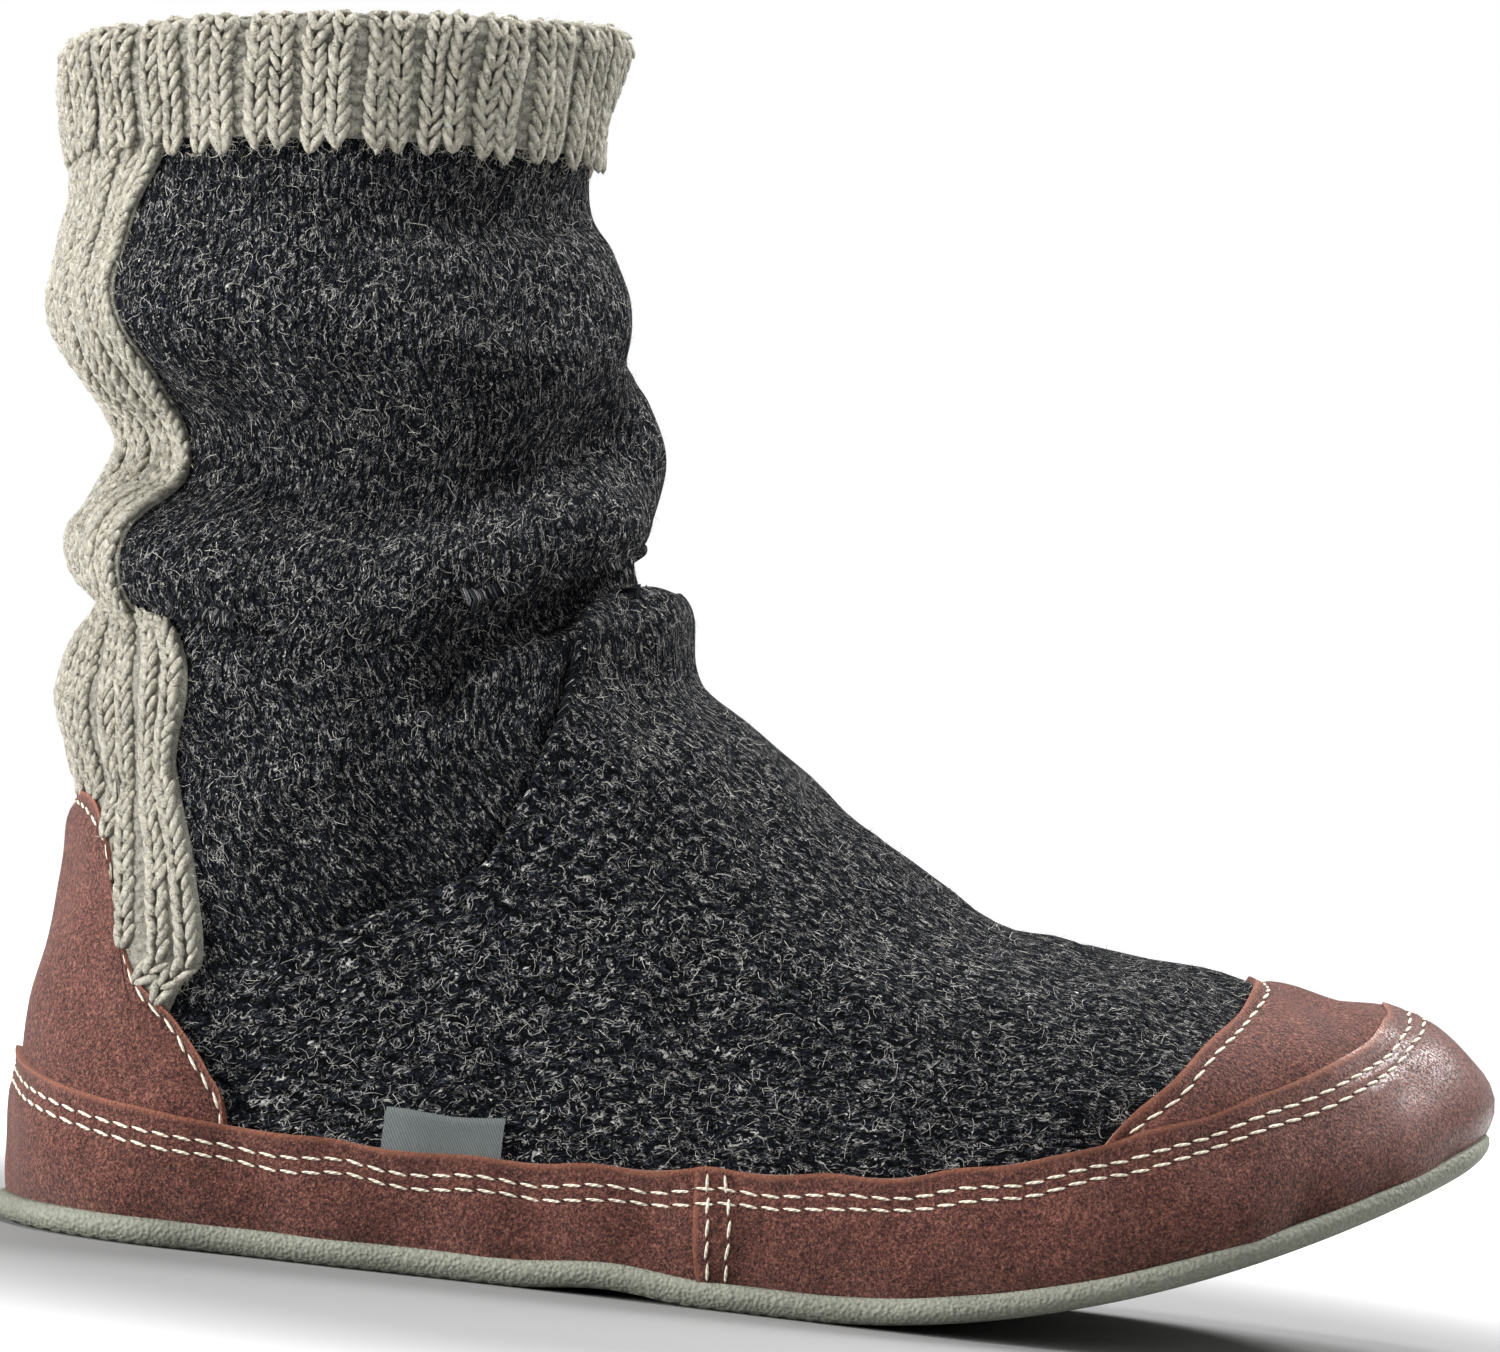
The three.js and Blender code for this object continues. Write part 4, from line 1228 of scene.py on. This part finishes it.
def suede_paint(name, raw, worn):
    """Brushed reddish brown suede, or its paler raw edge. Where worn is 1 the toe's nap is rubbed shiny.

    The UV map holds the distances from the sheet's end and from its top edge, where it is frayed and pale.
    """
    paint = Paint(name, Sheen_Weight=0.18, Sheen_Roughness=0.4, Specular_IOR_Level=0.32)
    paint.shader("Coat Roughness", 0.32)
    spot = paint.place()
    nap = paint.noise(spot, 1500.0, 3.0, 0.7, 0.3)
    brushed = paint.noise(spot, 330.0, 4.0, 0.6, 0.5)
    blotches = paint.noise(spot, 42.0, 4.0, 0.6, 0.6)
    lift = 26 if raw else 0
    scuffs = paint.filaments(spot, 210.0, 0.03, 0.05)
    leather = paint.ramp(
        nap * 0.72 + brushed * 0.18 + blotches * 0.1 + scuffs * 0.04,
        (0.37, shade(42 + lift, 19 + lift, 16 + lift)),
        (0.46, shade(80 + lift, 43 + lift, 37 + lift)),
        (0.54, shade(109 + lift, 64 + lift, 55 + lift)),
        (0.66, shade(158 + lift, 106 + lift, 93 + lift)),
    )
    toe = paint.soft(paint.part(spot, 0), 0.18, 0.215) * paint.soft(paint.part(spot, 2), 0.03, 0.05)
    rubbed = toe * worn * paint.soft(nap * 0.5 + blotches * 0.5, 0.32, 0.52)
    flat = paint.place("UV")
    cut = flat.maths("MINIMUM", paint.part(flat, 1), paint.part(flat, 0))
    frayed = (1 - paint.soft(cut + (nap - 0.5) * 0.0022, 0.0002, 0.0013)) * 0.5
    grains = paint.soft(paint.noise(spot, 2600.0, 2.0), 0.56, 0.64) * 0.3
    pits = paint.soft(paint.noise(spot, 1900.0, 2.0), 0.55, 0.65) * 0.7
    pitted = paint.blend(pits, leather, shade(44, 20, 18))
    grained = paint.blend(grains, pitted, shade(188, 134, 112))
    paint.shader("Base Color", paint.blend(frayed, grained, shade(178, 114, 88)))
    paint.shader("Roughness", 0.92 - rubbed * 0.5)
    specks = paint.soft(paint.noise(spot, 2100.0, 2.0), 0.44, 0.58)
    paint.shader("Coat Weight", rubbed * specks * 0.7)
    paint.bump(nap * (1 - rubbed * 0.3) + brushed * 0.25, 0.0010)
    return paint


suede = suede_paint("Suede", False, 0.0)
worn_suede = suede_paint("Suede worn at the toe", False, 1.0)
raw_edge = suede_paint("Raw suede edge", True, 0.0)
for piece, node in ((heel_counter, "heel_counter"), (toe_cap, "toe_cap")):
    suede.on(piece)
    piece.data.materials.append(raw_edge.material)
    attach(piece, "root")
    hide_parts(node)

# The foxing: a thicker band of the same suede round the foot, in two lengths. The front length laps over
# the rear one at a seam on each side of the waist, and both are sewn through near the top edge.
FOXING_SEAM = 0.1375
LAP = 0.003
LAP_RISE = 0.0012
LAP_EASE = 0.009
FOXING_FOOT = 0.06
REAR_COLUMNS = 280
FRONT_COLUMNS = 310
FOXING_ROWS = (0.0039, 0.0063)

seam_turn = turn_beside(FOXING_SEAM, 2.0)
lap_turn = turn_beside(FOXING_SEAM - LAP, 2.0)


def lapped(run):
    """The front length's ends ride up over the rear length."""
    return LAP_RISE * (1 - ease(np.minimum(run, run[:, -1:] - run) / LAP_EASE))


rear_turns = even_turns(WIDEST_ROW, REAR_COLUMNS, seam_turn, 1 - seam_turn)
rear_low = np.full_like(rear_turns, FOXING_FOOT)
rear_high = row_at(rear_turns, past(foxing_height, 0), high=FOOT_TOP)
foxing_rear, rear_points, rear_depth = suede_skin(
    "foxing_rear_suede", rear_turns, rear_low, rear_high, FOXING, FOXING_ROWS
)
front_turns = even_turns(WIDEST_ROW, FRONT_COLUMNS, -lap_turn, lap_turn)
front_low = np.full_like(front_turns, FOXING_FOOT)
front_high = row_at(front_turns, past(foxing_height, 0), high=FOOT_TOP)
foxing_front, front_points, front_depth = suede_skin(
    "foxing_front_suede", front_turns, front_low, front_high, FOXING, FOXING_ROWS, lapped
)
for piece, node, paint in (
    (foxing_rear, "foxing_rear", suede),
    (foxing_front, "foxing_front", worn_suede),
):
    paint.on(piece)
    piece.data.materials.append(raw_edge.material)
    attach(piece, "root")
    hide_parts(node)

# The thread: waxed off-white cotton, sewn in saddle stitches of one length, two rows along the foxing and
# one along the counter's and the cap's raw edges. Two short rows go down each lapped seam.
THREAD_PITCH = 0.0041
THREAD_LONG = 0.0019
THREAD_WIDE = 0.00034
THREAD_THICK = 0.0003
THREAD_LEAN = 0.12
HOLE = 0.0003
LAP_ROWS = (0.0019, 0.0047)
THREAD_STEP = 0.0008
THREAD_LIFT = 0.00012
HOLE_SUNK = 0.0001
HOLE_DEEP = 0.5
HOLE_LONG = 1.2
SEAM_SPARE = 0.0005
LAP_MARGIN = 3


def seam_along(points, depths, depth):
    """The line on a suede sheet at a depth below its top edge."""
    line = []
    for k in range(points.shape[1]):
        down = depths[::-1, k]
        line.append([np.interp(depth, down, points[::-1, k, axis]) for axis in range(3)])
    return np.array(line)


def sewn(line, skin_out):
    """Stitches along a line on the suede, and the painted shade of the needle holes between them."""
    run = distances(line, 0)
    count = int(run[-1] / THREAD_PITCH)
    ends = np.arange(count + 1) * run[-1] / count
    at = (np.arange(count) + 0.5) * run[-1] / count
    along = unit(read(at + THREAD_STEP, run, line) - read(at - THREAD_STEP, run, line))
    out = unit(read(at, run, skin_out))
    lean = unit(along + THREAD_LEAN * unit(np.cross(along, out)))
    width = unit(np.cross(lean, out))
    place = read(at, run, line) + out * THREAD_LIFT
    stitches = (place, -width * THREAD_WIDE, out * THREAD_THICK, lean * THREAD_LONG)
    hole = read(ends, run, line)
    hole_out = unit(read(ends, run, skin_out))
    hole_along = unit(np.gradient(hole, axis=0))
    hole_wide = unit(np.cross(hole_along, hole_out))
    hole = hole - hole_out * HOLE_SUNK
    sizes = (-hole_wide * HOLE, hole_out * HOLE * HOLE_DEEP, hole_along * HOLE * HOLE_LONG)
    return stitches, (hole, *sizes)


def outwards(points):
    """The outward directions at a grid's points."""
    return unit(np.cross(np.gradient(points, axis=1), np.gradient(points, axis=0)))


rows_sewn = []
for points, depths, seams in (
    (rear_points, rear_depth, FOXING_ROWS),
    (front_points, front_depth, FOXING_ROWS),
    (counter_points, counter_depth, (STITCH_IN,)),
    (cap_points, cap_depth, (STITCH_IN,)),
):
    normals = outwards(points)
    for seam in seams:
        long_enough = depths[0] > seam + SEAM_SPARE
        line = seam_along(points, depths, seam)[long_enough]
        rows_sewn.append(sewn(line, seam_along(normals, depths, seam)[long_enough]))
for end in (1, -1):
    for inset in LAP_ROWS:
        normals = outwards(front_points)
        run = distances(front_points, 1)[0]
        column = np.searchsorted(run, inset if end > 0 else run[-1] - inset)
        height = slice(LAP_MARGIN, SKIN_UP - LAP_MARGIN)
        rows_sewn.append(sewn(front_points[height, column], normals[height, column]))
stitches, pricks = [[np.concatenate(part) for part in zip(*kind)] for kind in zip(*rows_sewn)]
thread = repeated("thread", STRAND, *stitches)
hole_shadows = repeated("needle_holes", STRAND, *pricks)
cotton = Paint("Waxed thread", Roughness=0.55, Specular_IOR_Level=0.4)
flat = cotton.place("UV")
ply = (cotton.part(flat, 0) * 2 + cotton.part(flat, 1) * 4).fraction().folded(0.5) * 2
cotton.shader("Base Color", cotton.ramp(
    ply * 0.6 + cotton.noise(cotton.place(), 2200.0, 2.0) * 0.4,
    (0.2, shade(206, 192, 166)),
    (0.5, shade(240, 230, 208)),
    (0.8, shade(252, 247, 234)),
))
cotton.bump(ply, 0.00015)
cotton.on(thread)
# Painted shade: each needle hole holds a dark grain that stands for the shade in it.
dark = Paint("Needle hole shadows", Roughness=1.0)
shadow = dark.noise(dark.place(), 900.0)
dark.shader("Base Color", dark.ramp(shadow, (0.3, shade(24, 12, 10)), (0.7, shade(44, 22, 18))))
dark.on(hole_shadows)
for piece in (thread, hole_shadows):
    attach(piece, "root")

# The side tab: a bare strip of mid-grey twill tape, folded double and caught under the foxing's top edge on
# the outer side, where it stands up against the knit.
TAB_LENGTH = 0.022
TAB_HEIGHT = 0.0075
TAB_THICKNESS = 0.0008
TAB_START = 0.074
TAB_COLUMNS = 44
TAB_UP = 22
TWILL = 0.0005
TAB_FOOT = -0.25
TAB_STANDING = 0.0004
TAB_CROWN = 0.0004
TAB_LEAN = 0.0007
TAB_BEND = 0.86


def spot_on(x, height):
    """The row and turn on the outer side at a place along the foot and a height."""
    def above(row):
        return on_last(row, 1 - turn_beside(x, row))[..., 2] > height
    row = halved(above, np.zeros_like(x), np.full_like(x, ANKLE_ROW))
    return row, 1 - turn_beside(x, row)


tab_x, tab_up = np.meshgrid(np.linspace(0, 1, TAB_COLUMNS + 1), np.linspace(TAB_FOOT, 1, TAB_UP + 1))
place_x = TAB_START + tab_x * TAB_LENGTH
foxing_top = sole_top(place_x) + curve(FOXING_EDGE, "at", "up", place_x / LENGTH) * FOXING_HEIGHT
tab_row, tab_turn = spot_on(place_x, foxing_top + tab_up * TAB_HEIGHT)
crown = TAB_CROWN * np.sin(np.pi * tab_x) - TAB_LEAN * ease((tab_up - TAB_BEND) / (1 - TAB_BEND))
tab_points = over(tab_row, tab_turn, step(place_x) + GAP + TAB_THICKNESS + TAB_STANDING + crown)
side_tab = lay("side_tab_tape", tab_points, np.stack([tab_x * TAB_LENGTH, tab_up * TAB_HEIGHT], -1) / TWILL)
modify(side_tab, "SOLIDIFY", thickness=TAB_THICKNESS, offset=-1)
smooth(side_tab, 60)
twill = Paint("Twill tape", Roughness=0.75, Sheen_Weight=0.2, Sheen_Roughness=0.4)
flat = twill.place("UV")
weft = twill.part(flat, 0)
warp = twill.part(flat, 1)
diagonal = (weft + warp * 0.5).fraction().folded(0.5) * 2
picks = (weft * 2 - warp).fraction().folded(0.5) * 2
twill.shader("Base Color", twill.ramp(
    diagonal * 0.5 + picks * 0.3 + twill.noise(twill.place(), 1800.0, 2.0) * 0.3,
    (0.15, shade(60, 65, 65)),
    (0.5, shade(90, 97, 97)),
    (0.85, shade(122, 130, 129)),
))
twill.bump(diagonal * 0.7 + picks * 0.3, 0.00018)
twill.on(side_tab)
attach(side_tab, "root")
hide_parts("side_tab")

# Loose fibres: wool hairs that stand out of the knit, short and curly, some as small loops.
# They catch the light on the dark wool, and make the pale yarn's outline soft.
HAIR_STEPS = 3
LEG_SHOWN = slice(18, 136)
FOOT_SHOWN = slice(8, FOOT_UP - 4)
HAIR_THICK = 0.00008
WHITE_HAIR_THICK = 0.00007
HAIR_LONG = 0.0015
WHITE_HAIR_LONG = 0.0025
PALE_HAIR_LONG = 0.0022


def fibres(name, base, out, long, curl, lift, thick, seed):
    """Thin strips that curve away over a surface from each base point."""
    chance = np.random.default_rng(seed)
    count = len(base)
    ahead = unit(np.cross(out, chance.normal(size=(count, 3))))
    ahead = unit(ahead + out * chance.uniform(0.1, 1.0, (count, 1)) * lift)
    turning = chance.normal(0, 1, (count, 1)) * curl
    sinking = chance.uniform(0.1, 0.5, (count, 1)) * lift
    length = long * chance.uniform(0.4, 1.6, (count, 1)) / HAIR_STEPS
    at = base.copy()
    edges = []
    for k in range(HAIR_STEPS + 1):
        side = unit(np.cross(ahead, out)) * thick / 2 * (1 - 0.6 * k / HAIR_STEPS)
        edges.append(np.stack([at - side, at + side], 1))
        at = at + ahead * length
        ahead = unit(ahead + np.cross(out, ahead) * turning - out * sinking)
    points = np.stack(edges, 1).reshape(-1, 3)
    quads = np.array([[2 * k, 2 * k + 1, 2 * k + 3, 2 * k + 2] for k in range(HAIR_STEPS)])
    corners = (quads.ravel() + 2 * (HAIR_STEPS + 1) * np.arange(count)[:, None]).ravel()
    return built(name, points, corners, np.full(count * HAIR_STEPS, 4))


def scattered(points, count, seed):
    """Random places on a grid of points, evenly by area, and the outward directions there."""
    chance = np.random.default_rng(seed)
    sides = np.cross(points[1:, :-1] - points[:-1, :-1], points[:-1, 1:] - points[:-1, :-1])
    area = np.linalg.norm(sides, axis=-1).ravel()
    cell = chance.choice(len(area), count, p=area / area.sum())
    j, i = np.divmod(cell, points.shape[1] - 1)
    u, v = chance.uniform(0, 1, (2, count, 1))
    below = mix(points[j, i], points[j, i + 1], u)
    above = mix(points[j + 1, i], points[j + 1, i + 1], u)
    return mix(below, above, v), outwards(points)[j, i]


def hair_paint(name, dark_end, light_end):
    paint = Paint(name, Roughness=0.7, Sheen_Weight=0.2, Sheen_Roughness=0.4)
    tone = paint.noise(paint.place(), 600.0, 2.0)
    paint.shader("Base Color", paint.ramp(tone, (0.3, shade(*dark_end)), (0.7, shade(*light_end))))
    return paint


grey_hair = hair_paint("Grey wool hairs", (34, 37, 43), (120, 123, 128))
white_hair = hair_paint("White wool hairs", (170, 168, 160), (244, 242, 234))
pale_hair = hair_paint("Pale wool hairs", (186, 178, 158), (240, 236, 222))
leg_shown = leg_points[LEG_SHOWN]
foot_shown = foot_points[FOOT_SHOWN]
for name, paint, grid, count, long, thick, seed in (
    ("leg_hairs", grey_hair, leg_shown, 8000, HAIR_LONG, HAIR_THICK, 21),
    ("leg_white_hairs", white_hair, leg_shown, 4800, WHITE_HAIR_LONG, WHITE_HAIR_THICK, 22),
    ("foot_hairs", grey_hair, foot_shown, 9000, HAIR_LONG, HAIR_THICK, 23),
    ("foot_white_hairs", white_hair, foot_shown, 5200, WHITE_HAIR_LONG, WHITE_HAIR_THICK, 24),
):
    base, out = scattered(grid, count, seed)
    hairs = fibres(name, base, out, long, 0.8, 0.6, thick, seed)
    paint.on(hairs)
    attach(hairs, "root")
for name, strands, count, seed in (
    ("panel_hairs", panel_strands, 18000, 31),
    ("cuff_hairs", cuff_strands, 24000, 32),
):
    chance = np.random.default_rng(seed)
    centre, wide, thick, along = strands
    pick = chance.integers(0, len(centre), count)
    where = chance.uniform(-0.8, 0.8, (count, 2))
    base = centre[pick] + along[pick] * where[:, :1] + wide[pick] * where[:, 1:] * 0.8
    base = base + thick[pick] * 0.55
    hairs = fibres(name, base, unit(thick[pick]), PALE_HAIR_LONG, 0.6, 0.7, HAIR_THICK, seed)
    pale_hair.on(hairs)
    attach(hairs, "root")

# The studio: a plain pale floor under soft lights, seen from the boot's outer side with the camera rolled a
# little. Near the boot the floor takes its shadow, and behind it the floor glows white like a lit backdrop.
CAMERA_PLACE = (0.0864, -1.5, 0.1179)
CAMERA_ROLL = 6.13
CAMERA_LENS = 188.2
FLOOR_SIZE = 12.0
LAMPS_AT = Vector((0.08, 0.0, 0.1))
FLOOR_MIDDLE = (0.09, 0.0, 0.0)
GLOW_FROM = (0.14, 0.33)
BEHIND_FROM = (-0.45, -0.25)
SKY = 0.04

bpy.ops.object.select_all(action="DESELECT")
bpy.ops.mesh.primitive_plane_add(size=FLOOR_SIZE)
floor = bpy.context.object
floor.name = "floor"
paper = Paint("Paper floor", Roughness=0.9, Specular_IOR_Level=0.1)
tone = paper.blend(paper.noise(paper.place(), 3.0), shade(142, 142, 142), shade(145, 145, 145))
# Painted light: the floor's emission makes it glow white away from the boot, but not on the strip nearest
# the camera.
from_boot = paper.node("VectorMath", {"operation": "DISTANCE"}, {0: paper.place(), 1: FLOOR_MIDDLE}, 1)
far_off = paper.soft(from_boot, *GLOW_FROM)
behind = paper.soft(paper.part(paper.place(), 1), *BEHIND_FROM)
paper.shader("Emission Color", paper.blend(far_off * behind, (0, 0, 0, 1), (1, 1, 1, 1)))
paper.shader("Emission Strength", 1.0)
paper.shader("Base Color", paper.blend(behind, shade(140, 140, 140), tone))
paper.on(floor)


def lamp(name, place, size, watts):
    """A square soft light that points at the boot."""
    bpy.ops.object.light_add(type="AREA", location=place)
    made = bpy.context.object
    made.name = name
    made.data.size = size
    made.data.energy = watts
    made.rotation_euler = (LAMPS_AT - Vector(place)).to_track_quat("-Z", "Y").to_euler()


lamp("overhead", (0.15, 0.42, 1.15), 0.8, 14)
lamp("heel_side", (-1.0, -0.42, 0.28), 0.6, 22)
lamp("toe_side", (0.8, 0.3, 0.84), 0.28, 10)
lamp("toe_front", (0.85, -0.75, 0.5), 0.5, 2.5)
lamp("front_top", (0.0, -0.42, 1.25), 0.35, 10)

world = bpy.data.worlds.new("studio")
bpy.context.scene.world = world
world.use_nodes = True
sky = world.node_tree
background = sky.nodes["Background"]
background.inputs["Color"].default_value = (1, 1, 1, 1)
seen = sky.nodes.new("ShaderNodeLightPath")
strength = sky.nodes.new("ShaderNodeMapRange")
strength.inputs["To Min"].default_value = SKY
strength.inputs["To Max"].default_value = 1.0
sky.links.new(seen.outputs["Is Camera Ray"], strength.inputs["Value"])
sky.links.new(strength.outputs["Result"], background.inputs["Strength"])
bpy.context.scene.view_settings.view_transform = "Standard"

bpy.ops.object.camera_add(location=CAMERA_PLACE)
camera = bpy.context.object
roll = Matrix.Rotation(math.radians(-CAMERA_ROLL), 4, "Y")
camera.matrix_world = Matrix.Translation(CAMERA_PLACE) @ roll @ Matrix.Rotation(math.radians(90), 4, "X")
camera.data.lens = CAMERA_LENS
camera.data.sensor_width = 36
bpy.context.scene.camera = camera
